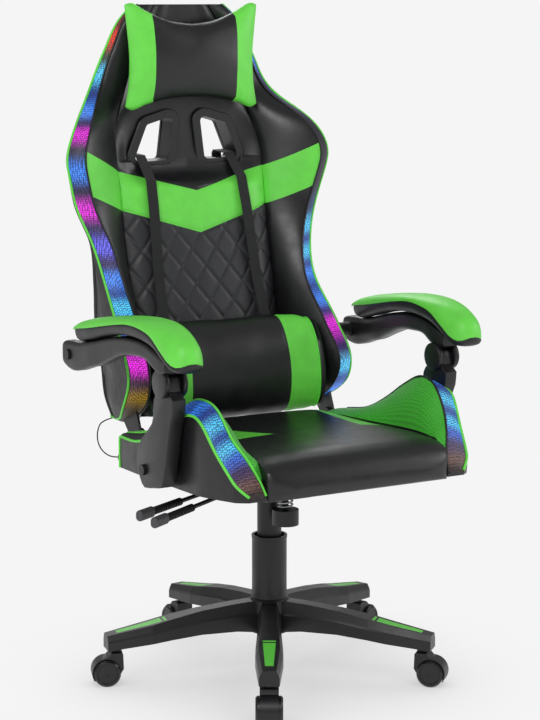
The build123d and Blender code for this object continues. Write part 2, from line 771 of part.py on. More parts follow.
back_cushion_sections = []
back_bolster_sections = []
back_band_sections = []
back_shell_sections = []
for z, rim_x, rim_y, inward, forward, seam_x, seam_y, middle, rear, corner_x, corner_y in BACK_ROWS:
    foam_rear = rear - SHELL_T - FRAME_ROOM
    half = seam_x - GAP
    shoulder = middle + (0.1 if z > 950 else 0.4) * (seam_y - middle)
    back_cushion_sections.append(
        (
            z,
            [
                (half, seam_y),
                (0.84 * half, shoulder),
                (0, middle),
                (-0.84 * half, shoulder),
                (-half, seam_y),
                (-half, foam_rear),
                (half, foam_rear),
            ],
        )
    )
    band_run = (inward**2 + forward**2) ** 0.5
    normal = (-forward / band_run, inward / band_run)
    crest = (rim_x - inward, rim_y - forward)
    under = BAND_T + GAP
    back_band_sections.append(
        (
            z,
            [
                (rim_x, rim_y),
                crest,
                (crest[0] + BAND_T * normal[0], crest[1] + BAND_T * normal[1]),
                (rim_x + BAND_T * normal[0], rim_y + BAND_T * normal[1]),
            ],
        )
    )
    # the shell bends from the corner to the seam's depth, then runs straight across
    lean = ((corner_x - seam_x) ** 2 + (rear - corner_y) ** 2) ** 0.5
    inside = ((rear - corner_y) / lean, (corner_x - seam_x) / lean)
    bend = seam_x - SHELL_T * 0.4
    shell_right = [(corner_x, corner_y), (seam_x, rear)]
    shell_inner = [
        (corner_x - SHELL_T * inside[0], corner_y - SHELL_T * inside[1]),
        (bend, rear - SHELL_T),
    ]
    back_shell_sections.append(
        (
            z,
            shell_right
            + [(-x, y) for x, y in reversed(shell_right)]
            + [(-x, y) for x, y in shell_inner]
            + list(reversed(shell_inner)),
        )
    )
    far = SHELL_T + 2 * GAP
    back_bolster_sections.append(
        (
            z,
            [
                (rim_x + under * normal[0], rim_y + under * normal[1]),
                (crest[0] + under * normal[0], crest[1] + under * normal[1]),
                (seam_x, seam_y + 0.5),
                (seam_x, foam_rear),
                (corner_x - far * inside[0], corner_y - far * inside[1]),
            ],
        )
    )

# room in the foam for the frame's cross tube and for the feet of its uprights
with BuildPart() as frame_room:
    with BuildSketch(along(-HINGE_ARM_X)):
        with Locations((ARM_END_Y + 22, ARM_END_Z)):
            Rectangle(64, 2 * FRAME_R + 6)
    extrude(amount=2 * HINGE_ARM_X)
    for side in (-1, 1):
        with BuildSketch(along(side * FRAME_X - FRAME_R - 3)):
            with BuildLine():
                Polyline(
                    (ARM_END_Y - 10, 550), (ARM_END_Y - 10, 566), (306, 650), (350, 650), (350, 550),
                    close=True,
                )
            make_face()
        extrude(amount=2 * FRAME_R + 6)

# harness openings: outline in X and Z on the sitter's left
OPENING = [(29, 1036), (87, 1020), (117, 948), (40, 950)]
LINING_T = 6.0
FLANGE_WIDE = 17.0
FLANGE_FRONT = 325.0


def opening_prism(grow, y_from, y_to):
    """The opening's outline, grown outwards, from depth y_from to y_to, both sides."""
    with BuildPart() as prism:
        with BuildSketch(across(y_to)):
            with BuildLine():
                Polyline(*OPENING, close=True)
            make_face()
            fillet(vertices(), 9)
            if grow:
                offset(amount=grow, kind=Kind.ARC)
            mirror(about=Plane.YZ)
        extrude(amount=y_to - y_from)
    return prism


with BuildPart() as back_cushion:
    add(section_loft(back_cushion_sections, at_height).part)
    add(frame_room.part, mode=Mode.SUBTRACT)
    add(opening_prism(LINING_T + 1, 250, 400).part, mode=Mode.SUBTRACT)
    add(opening_prism(FLANGE_WIDE + 1, 250, FLANGE_FRONT + 4.3).part, mode=Mode.SUBTRACT)

with BuildPart() as hinge_arm_slot:
    with BuildSketch(along(PLATE_X - 0.5)):
        with BuildLine():
            Polyline((110, 440), (110, 628), (212, 628), (275, 580), (275, 440), close=True)
        make_face()
    extrude(amount=HINGE_ARM_X + HINGE_PLATE_T + 3 - PLATE_X)

with BuildPart() as back_bolster_left:
    add(section_loft(back_bolster_sections, at_height).part)
    add(frame_room.part, mode=Mode.SUBTRACT)
    add(hinge_arm_slot.part, mode=Mode.SUBTRACT)
    with Locations(Location((HINGE_ARM_X, TAIL_Y, TAIL_Z), (0, 90, 0))):
        Cylinder(15.5, 60, align=(Align.CENTER, Align.CENTER, Align.MIN), mode=Mode.SUBTRACT)

with BuildPart() as back_light_left:
    add(section_loft(back_band_sections, at_height).part)
    add(hinge_arm_slot.part, mode=Mode.SUBTRACT)

with BuildPart() as back_shell:
    add(section_loft(back_shell_sections, at_height).part)
    add(opening_prism(LINING_T + 1, 340, 400).part, mode=Mode.SUBTRACT)

save(back_cushion, "back_cushion")
save(back_bolster_left, "back_bolster_left")
save(mirrored(back_bolster_left), "back_bolster_right")
save(back_light_left, "back_light_left")
save(mirrored(back_light_left), "back_light_right")
save(back_shell, "back_shell")

# ---- back frame: bent tubes between the foam and the shell ---------------------------------------
def tube(points, radius):
    """A round tube along straight runs, with mitred corners."""
    with BuildPart() as run:
        with BuildLine() as axis_line:
            Polyline(*points)
        with BuildSketch(Plane(origin=points[0], z_dir=axis_line.line % 0)):
            Circle(radius)
        sweep(transition=Transition.RIGHT)
    return run


frame_rows = [row for row in BACK_ROWS if 640 <= row[0] <= 1163]
tube_y = SHELL_T + FRAME_ROOM / 2
upright = [(FRAME_X, ARM_END_Y, ARM_END_Z)]
upright += [(min(FRAME_X, row[5] - 17), row[8] - tube_y, row[0]) for row in frame_rows]
hoop = upright + [(60, rear_at(1190) - tube_y, 1190)]
hoop += [(-x, y, z) for x, y, z in reversed(hoop)]
with BuildPart() as back_frame:
    add(tube(hoop, FRAME_R).part)
    cross_end = HINGE_ARM_X - 0.1
    cross = [(-cross_end, ARM_END_Y, ARM_END_Z), (cross_end, ARM_END_Y, ARM_END_Z)]
    add(tube(cross, FRAME_R).part)
    brace_y = rear_at(880) - tube_y
    add(tube([(-FRAME_X, brace_y, 880), (FRAME_X, brace_y, 880)], FRAME_R).part)

save(back_frame, "back_frame")

# ---- harness bezels: flange and lining in front, flange behind -------------------------------------
with BuildPart() as front_bezels:
    add(opening_prism(FLANGE_WIDE, FLANGE_FRONT, FLANGE_FRONT + 4).part)
    add(opening_prism(LINING_T, FLANGE_FRONT + 4, 369).part)
    chamfer(front_bezels.faces().sort_by(Axis.Y)[:2].edges(), 1.5)
    add(opening_prism(0, 300, 400).part, mode=Mode.SUBTRACT)

with BuildPart() as rear_bezels:
    add(opening_prism(14, 350, 380).part)
    add(opening_prism(0, 340, 400).part, mode=Mode.SUBTRACT)
    behind_shell = Plane(origin=(0, 370.4, 958), x_dir=(1, 0, 0), z_dir=(0, 1, -4 / 67))
    split(bisect_by=behind_shell, keep=Keep.TOP)

with BuildPart() as harness_bezels:
    add(front_bezels.part)
    add(rear_bezels.part)

save(harness_bezels, "harness_bezels")

# ---- pillows and the straps of the lumbar pillow ---------------------------------------------------
HEAD_OUTLINE = [
    (0, 1215), (50, 1221), (100, 1240), (132, 1256), (146, 1248), (143, 1215), (136, 1155),
    (140, 1095), (146, 1060), (136, 1049), (100, 1060), (50, 1069), (0, 1072),
]
head_centre_z = 1150.0
head_sections = []
for y, inset in ((334, 30), (326, 12), (308, 2), (300, 0), (286, 8), (276, 24), (271, 46)):
    across_scale = 1 - inset / 146
    up_scale = 1 - inset / 104
    side = [
        (x * across_scale, head_centre_z + (z - head_centre_z) * up_scale) for x, z in HEAD_OUTLINE
    ]
    head_sections.append((y, side + [(-x, z) for x, z in reversed(side[1:-1])]))
head_pillow = section_loft(head_sections, across)

LUMBAR_Y, LUMBAR_Z = 150.0, 565.0
LUMBAR_TILT = 12.0
lumbar_sections = []
for x, half_deep, half_high, centre in (
    (-177, 24, 62, 121),
    (-168, 38, 80, 133),
    (-150, 48, 90, 148),
    (0, 50, 91, LUMBAR_Y),
    (150, 48, 90, 148),
    (168, 38, 80, 133),
    (177, 24, 62, 121),
):
    oval = []
    for step in range(20):
        turn = radians(18 * step)
        deep, high = half_deep * cos(turn), half_high * sin(turn)
        lean = radians(LUMBAR_TILT)
        oval.append(
            (
                centre + deep * cos(lean) + high * sin(lean),
                LUMBAR_Z - deep * sin(lean) + high * cos(lean),
            )
        )
    lumbar_sections.append((x, oval))
lumbar_pillow = section_loft(lumbar_sections, along)

STRAP_WIDE, STRAP_T = 21.0, 2.0
STRAP_TOP_X = 98.0
STRAP_SPLAY = 2.33
STRAP_PATH = [
    (384, 932), (384, 956), (378, 962), (334, 960), (284, 915), (268, 860), (236, 720),
    (214, 660), (203, 634),
]
with BuildPart() as strap:
    with BuildSketch(Plane.YZ.offset(-STRAP_WIDE / 2)):
        with BuildLine():
            Polyline(*[(y, z - 960) for y, z in STRAP_PATH])
        trace(line_width=STRAP_T)
    extrude(amount=STRAP_WIDE)

with BuildPart() as pillow_straps:
    with Locations(Location((STRAP_TOP_X, 0, 960), (0, -STRAP_SPLAY, 0))):
        add(strap.part)
    with Locations(Location((-STRAP_TOP_X, 0, 960), (0, STRAP_SPLAY, 0))):
        add(strap.part)

save(head_pillow, "head_pillow")
save(lumbar_pillow, "lumbar_pillow")
save(pillow_straps, "pillow_straps")

# ---- armrest brackets on the back: spacer tubes and tail bolts -------------------------------------
TAIL_IN, TAIL_OUT = 297.0, 323.0
with BuildPart() as spacer_left:
    spacer_from = HINGE_ARM_X + HINGE_PLATE_T + 0.1
    with Locations(Location((spacer_from, TAIL_Y, TAIL_Z), (0, 90, 0))):
        Cylinder(14.5, TAIL_IN - 0.5 - spacer_from, align=(Align.CENTER, Align.CENTER, Align.MIN))
    with Locations(Location((spacer_from - 5, TAIL_Y, TAIL_Z), (0, 90, 0))):
        Cylinder(
            PIN_R + 0.05, 120, align=(Align.CENTER, Align.CENTER, Align.MIN), mode=Mode.SUBTRACT
        )

with BuildPart() as tail_bolt_left:
    with Locations(Location((HINGE_ARM_X - 4.5, TAIL_Y, TAIL_Z), (0, 90, 0))):
        Cylinder(
            PIN_R, TAIL_OUT + 5 - HINGE_ARM_X, align=(Align.CENTER, Align.CENTER, Align.MIN)
        )
    with Locations(Location((HINGE_ARM_X - 4.5, TAIL_Y, TAIL_Z), (0, 90, 0))):
        Cylinder(8.5, 4.3, align=(Align.CENTER, Align.CENTER, Align.MIN))
    with Locations(Location((TAIL_OUT + 0.4, TAIL_Y, TAIL_Z), (0, 90, 0))):
        Cylinder(10, 4, align=(Align.CENTER, Align.CENTER, Align.MIN))

with BuildPart() as arm_brackets:
    add(spacer_left.part)
    mirror(spacer_left.part, about=Plane.YZ)
with BuildPart() as tail_bolts:
    add(tail_bolt_left.part)
    mirror(tail_bolt_left.part, about=Plane.YZ)

save(arm_brackets, "arm_brackets")
save(tail_bolts, "tail_bolts")

# ---- armrest post: foot bolted to the seat, tongue in the arm's knuckle --------------------------
POST_OUTLINE = [
    (-184, 578), (-182, 556), (-171, 532), (-164, 501), (-157, 471), (-150, 443), (-142, 423),
    (-137, 415), (-105, 408), (-69, 401), (-53, 414), (-42, 431), (-39, 448), (-42, 464),
    (-54, 485), (-81, 506), (-104, 528), (-106, 543), (-108, 566), (-114, 580), (-150, 590),
]
TONGUE_R = 17.0
SLOT_R = 20.5
SLOT_SIDE = 0.8
with BuildPart() as post_left:
    with BuildSketch(along(POST_IN)):
        with BuildLine():
            Polyline(*POST_OUTLINE, close=True)
        make_face()
        with Locations((KNUCKLE_Y, KNUCKLE_Z)):
            Circle(KNUCKLE_R + 2, mode=Mode.SUBTRACT)
        with BuildLine():
            Polyline(
                (KNUCKLE_Y - TONGUE_R, KNUCKLE_Z),
                (KNUCKLE_Y + TONGUE_R, KNUCKLE_Z),
                (KNUCKLE_Y + TONGUE_R, 560),
                (KNUCKLE_Y - TONGUE_R, 560),
                close=True,
            )
        make_face()
        with Locations((KNUCKLE_Y, KNUCKLE_Z)):
            Circle(TONGUE_R)
        with Locations((KNUCKLE_Y, KNUCKLE_Z), (POST_Y, POST_Z)):
            Circle(PIN_R + 0.05, mode=Mode.SUBTRACT)
    extrude(amount=POST_OUT - POST_IN)

KNUCKLE_IN, KNUCKLE_OUT = 263.0, 309.0
with BuildPart() as knuckle_pin:
    with Locations(Location((KNUCKLE_IN + 2, KNUCKLE_Y, KNUCKLE_Z), (0, 90, 0))):
        Cylinder(
            PIN_R, KNUCKLE_OUT - KNUCKLE_IN - 4, align=(Align.CENTER, Align.CENTER, Align.MIN)
        )

with BuildPart() as arm_post_left:
    add(post_left.part)
    add(knuckle_pin.part)

save(arm_post_left, "arm_post_left")
save(mirrored(arm_post_left), "arm_post_right")

# ---- arm: a beam, the pad's black base and its green top ----------------------------------------------
# Each row: y, inner x, outer x, underside, top.
BEAM_ROWS = [
    (221, 299, 321, 598, 620),
    (214, 297, 323, 586, 630),
    (192, 297, 323, 579, 633),
    (178, 297, 323, 577, 634),
    (155, 297, 323, 581, 634.5),
    (110, 293, 322, 594, 642.5),
    (86, 290, 321, 600, 648.5),
    (40, 285, 319, 617, 659.5),
    (-10, 279, 318, 633, 668),
    (-60, 273, 316, 639, 671.4),
    (-110, 269, 315, 637, 668.6),
    (-140, 266, 314, 622, 661),
    (-160, 267, 313, 618, 655.6),
    (-176, 270, 311, 624, 648.4),
]
beam_sections = []
for y, inner, outer, low, high in BEAM_ROWS:
    ridge = low + 0.55 * (high - low)
    beam_sections.append(
        (
            y,
            [
                (inner + 4, low),
                (outer - 4, low),
                (outer, ridge - 4),
                (outer, ridge + 4),
                (outer - 3, high),
                (inner + 3, high),
                (inner, ridge + 4),
                (inner, ridge - 4),
            ],
        )
    )
with BuildPart() as arm_beam_left:
    add(section_loft(beam_sections, across).part)
    with Locations(Location((KNUCKLE_IN, KNUCKLE_Y, KNUCKLE_Z), (0, 90, 0))):
        Cylinder(
            KNUCKLE_R, KNUCKLE_OUT - KNUCKLE_IN, align=(Align.CENTER, Align.CENTER, Align.MIN)
        )
    with BuildSketch(along(POST_IN - SLOT_SIDE)):
        with Locations((KNUCKLE_Y, KNUCKLE_Z)):
            Circle(SLOT_R)
        with Locations((KNUCKLE_Y, KNUCKLE_Z - 20)):
            Rectangle(2 * KNUCKLE_R + 2, 40)
    extrude(amount=POST_OUT - POST_IN + 2 * SLOT_SIDE, mode=Mode.SUBTRACT)
    with Locations(Location((KNUCKLE_IN - 5, KNUCKLE_Y, KNUCKLE_Z), (0, 90, 0))):
        Cylinder(
            PIN_R + OPEN_PIN_CLEARANCE,
            60,
            align=(Align.CENTER, Align.CENTER, Align.MIN),
            mode=Mode.SUBTRACT,
        )
    with Locations(Location((TAIL_IN - 5, TAIL_Y, TAIL_Z), (0, 90, 0))):
        Cylinder(
            PIN_R + 0.1, 40, align=(Align.CENTER, Align.CENTER, Align.MIN), mode=Mode.SUBTRACT
        )

# Each row: y, centre x, half width, base's underside, seam, top.
PAD_ROWS = [
    (176, 304.5, 17, 650, 655, 661),
    (156, 304, 21, 637, 660, 671),
    (110, 302, 27, 643, 667, 684),
    (40, 299, 31, 660, 680, 697),
    (-20, 296, 34, 670, 691, 705),
    (-66, 294, 35, 672, 697, 709.5),
    (-110, 292, 36, 669, 696, 711),
    (-153, 291, 36, 660, 687, 709),
    (-190, 291, 35, 643, 665, 702.5),
    (-215, 291, 32, 632, 648, 693),
    (-233, 291, 26, 632, 645, 682),
    (-243, 291, 16, 640, 648, 668),
]
base_sections = []
top_sections = []
for y, middle_x, half, low, seam, high in PAD_ROWS:
    if y < 170:
        base_sections.append(
            (
                y,
                [
                    (middle_x + 0.6 * half, low),
                    (middle_x + half, seam - 0.45 * (seam - low)),
                    (middle_x + half, seam),
                    (middle_x - half, seam),
                    (middle_x - half, seam - 0.45 * (seam - low)),
                    (middle_x - 0.6 * half, low),
                ],
            )
        )
    top_sections.append(
        (
            y,
            [
                (middle_x + half - 0.5, seam + GAP),
                (middle_x + half - 1.5, seam + 0.6 * (high - seam)),
                (middle_x + 0.62 * half, high),
                (middle_x - 0.62 * half, high),
                (middle_x - half + 1.5, seam + 0.6 * (high - seam)),
                (middle_x - half + 0.5, seam + GAP),
            ],
        )
    )
arm_pad_base_left = section_loft(base_sections, across)
arm_pad_top_left = section_loft(top_sections, across)

save(arm_beam_left, "arm_beam_left")
save(mirrored(arm_beam_left), "arm_beam_right")
save(arm_pad_base_left, "arm_pad_base_left")
save(mirrored(arm_pad_base_left), "arm_pad_base_right")
save(arm_pad_top_left, "arm_pad_top_left")
save(mirrored(arm_pad_top_left), "arm_pad_top_right")

# ---- the lights' cable: a loop from the back's corner to a plug on the seat ----------------------------
CABLE_ROUTE = [
    (-203, 252, 464),
    (-226, 255, 460),
    (-244, 236, 447),
    (-256, 212, 431),
    (-261, 184, 419),
    (-261, 155, 414),
    (-257, 135, 414),
    (-250, 122.8, 416),
]
with BuildPart() as led_cable:
    with BuildLine() as cable_line:
        Spline(*CABLE_ROUTE)
    with BuildSketch(Plane(origin=cable_line.line @ 0, z_dir=cable_line.line % 0)):
        Circle(CABLE_R)
    sweep()

with BuildPart() as cable_plug:
    with Locations((-250, 117.2, 416)):
        Box(13, 9.6, 11)
    chamfer(cable_plug.edges().filter_by(Axis.Y), 1.5)

save(led_cable, "led_cable")
save(cable_plug, "cable_plug")
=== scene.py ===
# %% [markdown]
# # A gaming chair with light bands
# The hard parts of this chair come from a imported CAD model, which is loaded first and never
# moved. Around it this script builds what CAD leaves plain: padded covers in synthetic leather,
# glowing mesh bands, piping, armrest skins and a cable. All numbers are millimetres in the
# CAD's own frame, and MM turns them to metres.

# %% Load the frame
from math import cos, pi, radians, sin

import bmesh
import bpy
import numpy as np
from mathutils import Matrix, Vector


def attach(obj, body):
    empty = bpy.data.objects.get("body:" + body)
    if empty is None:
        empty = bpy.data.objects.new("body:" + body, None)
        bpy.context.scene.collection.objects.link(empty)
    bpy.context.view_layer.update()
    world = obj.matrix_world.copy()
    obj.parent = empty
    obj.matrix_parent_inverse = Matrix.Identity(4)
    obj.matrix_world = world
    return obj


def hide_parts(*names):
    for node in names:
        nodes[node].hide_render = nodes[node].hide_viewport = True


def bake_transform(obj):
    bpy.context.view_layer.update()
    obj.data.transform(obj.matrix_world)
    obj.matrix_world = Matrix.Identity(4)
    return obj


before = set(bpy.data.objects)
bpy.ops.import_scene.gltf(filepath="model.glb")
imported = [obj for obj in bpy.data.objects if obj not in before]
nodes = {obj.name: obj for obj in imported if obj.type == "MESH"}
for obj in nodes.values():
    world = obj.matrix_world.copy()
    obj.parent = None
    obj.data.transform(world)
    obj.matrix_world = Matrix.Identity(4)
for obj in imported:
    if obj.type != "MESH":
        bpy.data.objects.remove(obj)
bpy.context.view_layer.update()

# %% [markdown]
# ## Camera
# The camera stands at the sitter's right front, a little above the seat, with a long lens so
# that the verticals stay nearly parallel. It is placed first.

# %% Camera
MM = 0.001
aim = Vector((0.0011, -0.0006, 0.5969))
turn, lift, distance = radians(-30.0), radians(9.684), 4.0
eye = aim + distance * Vector((sin(turn) * cos(lift), -cos(turn) * cos(lift), sin(lift)))
camera = bpy.data.objects.new("camera", bpy.data.cameras.new("camera"))
camera.data.lens = 107.16
camera.data.clip_end = 60
camera.location = eye
camera.rotation_euler = (aim - eye).to_track_quat("-Z", "Y").to_euler()
bpy.context.scene.collection.objects.link(camera)
bpy.context.scene.camera = camera
print("camera", [round(v, 3) for v in eye])

# %% [markdown]
# ## Colours and one node helper
# Colours are picked as sRGB hex values, the way a colour picker shows them, while shaders want
# linear light. One function turns them. One more adds a node, sets its values and links it.


# %% Colour and node helpers
def linear(hex_colour):
    """An sRGB hex colour as linear RGBA."""
    parts = [int(hex_colour[i : i + 2], 16) / 255 for i in (1, 3, 5)]
    return [c / 12.92 if c <= 0.04045 else ((c + 0.055) / 1.055) ** 2.4 for c in parts] + [1.0]


def add_node(tree, kind, inputs=None, **settings):
    """Adds a node; an input that is a socket is linked, any other is set."""
    made = tree.nodes.new(kind)
    for name, value in settings.items():
        setattr(made, name, value)
    for name, value in (inputs or {}).items():
        if isinstance(value, bpy.types.NodeSocket):
            tree.links.new(value, made.inputs[name])
        else:
            made.inputs[name].default_value = value
    return made


def new_material(name):
    """An empty material, its tree, its object coordinates and a place for its shader."""
    material = bpy.data.materials.new(name)
    material.use_nodes = True
    tree = material.node_tree
    tree.nodes.clear()
    place = add_node(tree, "ShaderNodeTexCoord").outputs["Object"]
    return material, tree, place


def finish_material(tree, shader):
    add_node(tree, "ShaderNodeOutputMaterial", {"Surface": shader.outputs[0]})


# %% [markdown]
# ## Synthetic leather
# The covers are polyurethane leather: a cloth with a thin, embossed plastic skin. The skin gives
# an even colour and a soft gloss, and the embossing breaks the gloss into small pebbles. Cells of
# a Voronoi pattern make the pebbles, drawn 1.6 mm across, twice the real size, so that they
# show. A slow noise shifts the roughness, as handling does.


# %% Synthetic leather
def leather(name, hex_colour, roughness, coat=0.0, pebble=1.6):
    material, tree, place = new_material(name)
    pebbles = add_node(
        tree, "ShaderNodeTexVoronoi", {"Vector": place, "Scale": 1000 / pebble}, feature="F1"
    )
    folds = add_node(tree, "ShaderNodeTexNoise", {"Vector": place, "Scale": 38.0, "Detail": 3.0})
    uneven = add_node(
        tree,
        "ShaderNodeMapRange",
        {
            "Value": folds.outputs["Fac"],
            "From Min": 0.3,
            "From Max": 0.7,
            "To Min": roughness - 0.06,
            "To Max": roughness + 0.07,
        },
    )
    shade = add_node(
        tree,
        "ShaderNodeHueSaturation",
        {
            "Color": linear(hex_colour),
            "Value": add_node(
                tree,
                "ShaderNodeMapRange",
                {"Value": folds.outputs["Fac"], "To Min": 0.86, "To Max": 1.14},
            ).outputs["Result"],
        },
    )
    soft = add_node(
        tree,
        "ShaderNodeBump",
        {"Height": folds.outputs["Fac"], "Strength": 0.25, "Distance": 0.0015},
    )
    bump = add_node(
        tree,
        "ShaderNodeBump",
        {
            "Height": pebbles.outputs["Distance"],
            "Strength": 0.22,
            "Distance": 0.0003,
            "Normal": soft.outputs["Normal"],
        },
    )
    shader = add_node(
        tree,
        "ShaderNodeBsdfPrincipled",
        {
            "Base Color": shade.outputs["Color"],
            "Roughness": uneven.outputs["Result"],
            "Normal": bump.outputs["Normal"],
            "IOR": 1.5,
            "Coat Weight": coat,
            "Coat Roughness": 0.35,
        },
    )
    finish_material(tree, shader)
    return material


BLACK, GREEN, CHARCOAL = "#121215", "#6ADB4A", "#202024"
black_leather = leather("black_polyurethane_leather", BLACK, 0.38, 0.12)
green_leather = leather("green_polyurethane_leather", GREEN, 0.48)
side_leather = leather("charcoal_side_leather", CHARCOAL, 0.55)
quilt_leather = leather("quilted_charcoal_leather", "#232327", 0.5)
green_piping = leather("green_piping_cord", "#66DF48", 0.5, 0.0, 0.9)
black_piping = leather("black_piping_cord", "#15121B", 0.45, 0.0, 0.9)
print("leathers made")

# %% [markdown]
# ## Moulded plastics, steel and rubber
# Arms and base are glass-filled nylon from a mould with a fine spark-eroded texture: satin, not
# shiny, with a slight orange peel. Caps, bezels and castor hoods are the same kind of plastic,
# duller. Steel parts are powder-coated or bright. A small noise bump carries each texture.


# %% Hard finishes
def moulded(name, hex_colour, roughness, metallic=0.0, grit=0.9, depth=0.00012):
    material, tree, place = new_material(name)
    texture = add_node(
        tree, "ShaderNodeTexNoise", {"Vector": place, "Scale": 1000 / grit, "Detail": 2.0}
    )
    wear = add_node(tree, "ShaderNodeTexNoise", {"Vector": place, "Scale": 22.0, "Detail": 4.0})
    uneven = add_node(
        tree,
        "ShaderNodeMapRange",
        {
            "Value": wear.outputs["Fac"],
            "From Min": 0.3,
            "From Max": 0.7,
            "To Min": roughness - 0.05,
            "To Max": roughness + 0.06,
        },
    )
    bump = add_node(
        tree,
        "ShaderNodeBump",
        {"Height": texture.outputs["Fac"], "Strength": 0.35, "Distance": depth},
    )
    shader = add_node(
        tree,
        "ShaderNodeBsdfPrincipled",
        {
            "Base Color": linear(hex_colour),
            "Roughness": uneven.outputs["Result"],
            "Metallic": metallic,
            "Normal": bump.outputs["Normal"],
        },
    )
    finish_material(tree, shader)
    return material


nylon = moulded("glass_filled_nylon", "#141417", 0.38)
hood_plastic = moulded("castor_polypropylene", "#131316", 0.42)
tread_nylon = moulded("castor_tread_nylon", "#141416", 0.32, depth=0.00005)
bezel_plastic = moulded("bezel_abs_matt", "#151518", 0.45)
green_plastic = moulded("green_abs_satin", "#5ED040", 0.38)
grip_plastic = moulded("lever_grip_plastic", "#47474A", 0.55, grit=1.4)
sleeve_rubber = moulded("ribbed_sleeve_rubber", "#121214", 0.6)
coated_steel = moulded("powder_coated_steel", "#141416", 0.45, grit=1.2)
bright_steel = moulded("zinc_plated_steel", "#B9BBBE", 0.3, metallic=1.0, depth=0.00004)
cable_skin = moulded("cable_pvc", "#151517", 0.5)
bearing_plastic = moulded("bearing_acetal", "#6A6A6C", 0.45)

# %% [markdown]
# ## Woven fabrics
# Two fabrics: the flat webbing straps of the lumbar pillow and the air mesh inside the seat
# wings. A wave makes the webbing's ribs. The mesh is the distance pattern of a grid of Voronoi
# cells, dark in each hole.


# %% Webbing and air mesh
def webbing_cloth(name, hex_colour):
    material, tree, place = new_material(name)
    across = add_node(
        tree,
        "ShaderNodeTexWave",
        {"Vector": place, "Scale": 120.0, "Distortion": 0.4},
        bands_direction="Z",
    )
    bump = add_node(
        tree,
        "ShaderNodeBump",
        {"Height": across.outputs["Fac"], "Strength": 0.5, "Distance": 0.0005},
    )
    shader = add_node(
        tree,
        "ShaderNodeBsdfPrincipled",
        {
            "Base Color": linear(hex_colour),
            "Roughness": 0.8,
            "Sheen Weight": 0.2,
            "Normal": bump.outputs["Normal"],
        },
    )
    finish_material(tree, shader)
    return material


def air_mesh(name, hex_thread, hex_hole, pitch):
    material, tree, place = new_material(name)
    holes = add_node(
        tree,
        "ShaderNodeTexVoronoi",
        {"Vector": place, "Scale": 1000 / pitch, "Randomness": 0.15},
        feature="F1",
    )
    edge = add_node(tree, "ShaderNodeValToRGB", {"Fac": holes.outputs["Distance"]})
    edge.color_ramp.elements[0].position = 0.28
    edge.color_ramp.elements[0].color = linear(hex_hole)
    edge.color_ramp.elements[1].position = 0.42
    edge.color_ramp.elements[1].color = linear(hex_thread)
    bump = add_node(
        tree,
        "ShaderNodeBump",
        {"Height": holes.outputs["Distance"], "Strength": 0.5, "Distance": 0.0006},
    )
    shader = add_node(
        tree,
        "ShaderNodeBsdfPrincipled",
        {
            "Base Color": edge.outputs["Color"],
            "Roughness": 0.62,
            "Sheen Weight": 0.15,
            "Normal": bump.outputs["Normal"],
        },
    )
    finish_material(tree, shader)
    return material


strap_cloth = webbing_cloth("polyester_webbing", "#0D0D0F")
green_mesh = air_mesh("green_air_mesh", "#3CB626", "#1F7414", 3.0)

# %% [markdown]
# ## Light bands
# Under each band runs a strip of light-emitting diodes, behind a woven mesh of dark thread. Each
# diode makes a bright blob that fades before the next. The strip cycles its colours along its
# length, so a ramp along the band holds each blob's colour and the dim gap after it: up the back,
# and along the seat. The mesh is a fine cell grid that dims the light between its holes.


# %% Glowing mesh
def glowing_mesh(name, axis, stops, strength):
    """Woven mesh over diodes: a colour for each place in millimetres along an axis."""
    material, tree, place = new_material(name)
    start, end = stops[0][0], stops[-1][0]
    split = add_node(tree, "ShaderNodeSeparateXYZ", {"Vector": place})
    along = add_node(
        tree,
        "ShaderNodeMapRange",
        {"Value": split.outputs[axis], "From Min": start * MM, "From Max": end * MM},
    )
    ramp = add_node(tree, "ShaderNodeValToRGB", {"Fac": along.outputs["Result"]})
    ramp.color_ramp.interpolation = "EASE"
    for _ in stops[2:]:
        ramp.color_ramp.elements.new(0.5)
    for stop, (position, colour) in zip(ramp.color_ramp.elements, stops):
        stop.position = (position - start) / (end - start)
        stop.color = linear(colour)
    threads = add_node(
        tree,
        "ShaderNodeTexVoronoi",
        {"Vector": place, "Scale": 1000 / 3.6, "Randomness": 0.3},
        feature="F1",
    )
    gaps = add_node(
        tree,
        "ShaderNodeMapRange",
        {
            "Value": threads.outputs["Distance"],
            "From Min": 0.2,
            "From Max": 0.65,
            "To Min": strength,
            "To Max": strength * 0.15,
        },
    )
    bump = add_node(
        tree,
        "ShaderNodeBump",
        {"Height": threads.outputs["Distance"], "Strength": 0.5, "Distance": 0.0006},
    )
    shader = add_node(
        tree,
        "ShaderNodeBsdfPrincipled",
        {
            "Base Color": linear("#15131B"),
            "Roughness": 0.5,
            "Emission Color": ramp.outputs["Color"],
            "Emission Strength": gaps.outputs["Result"],
            "Normal": bump.outputs["Normal"],
        },
    )
    finish_material(tree, shader)
    return material


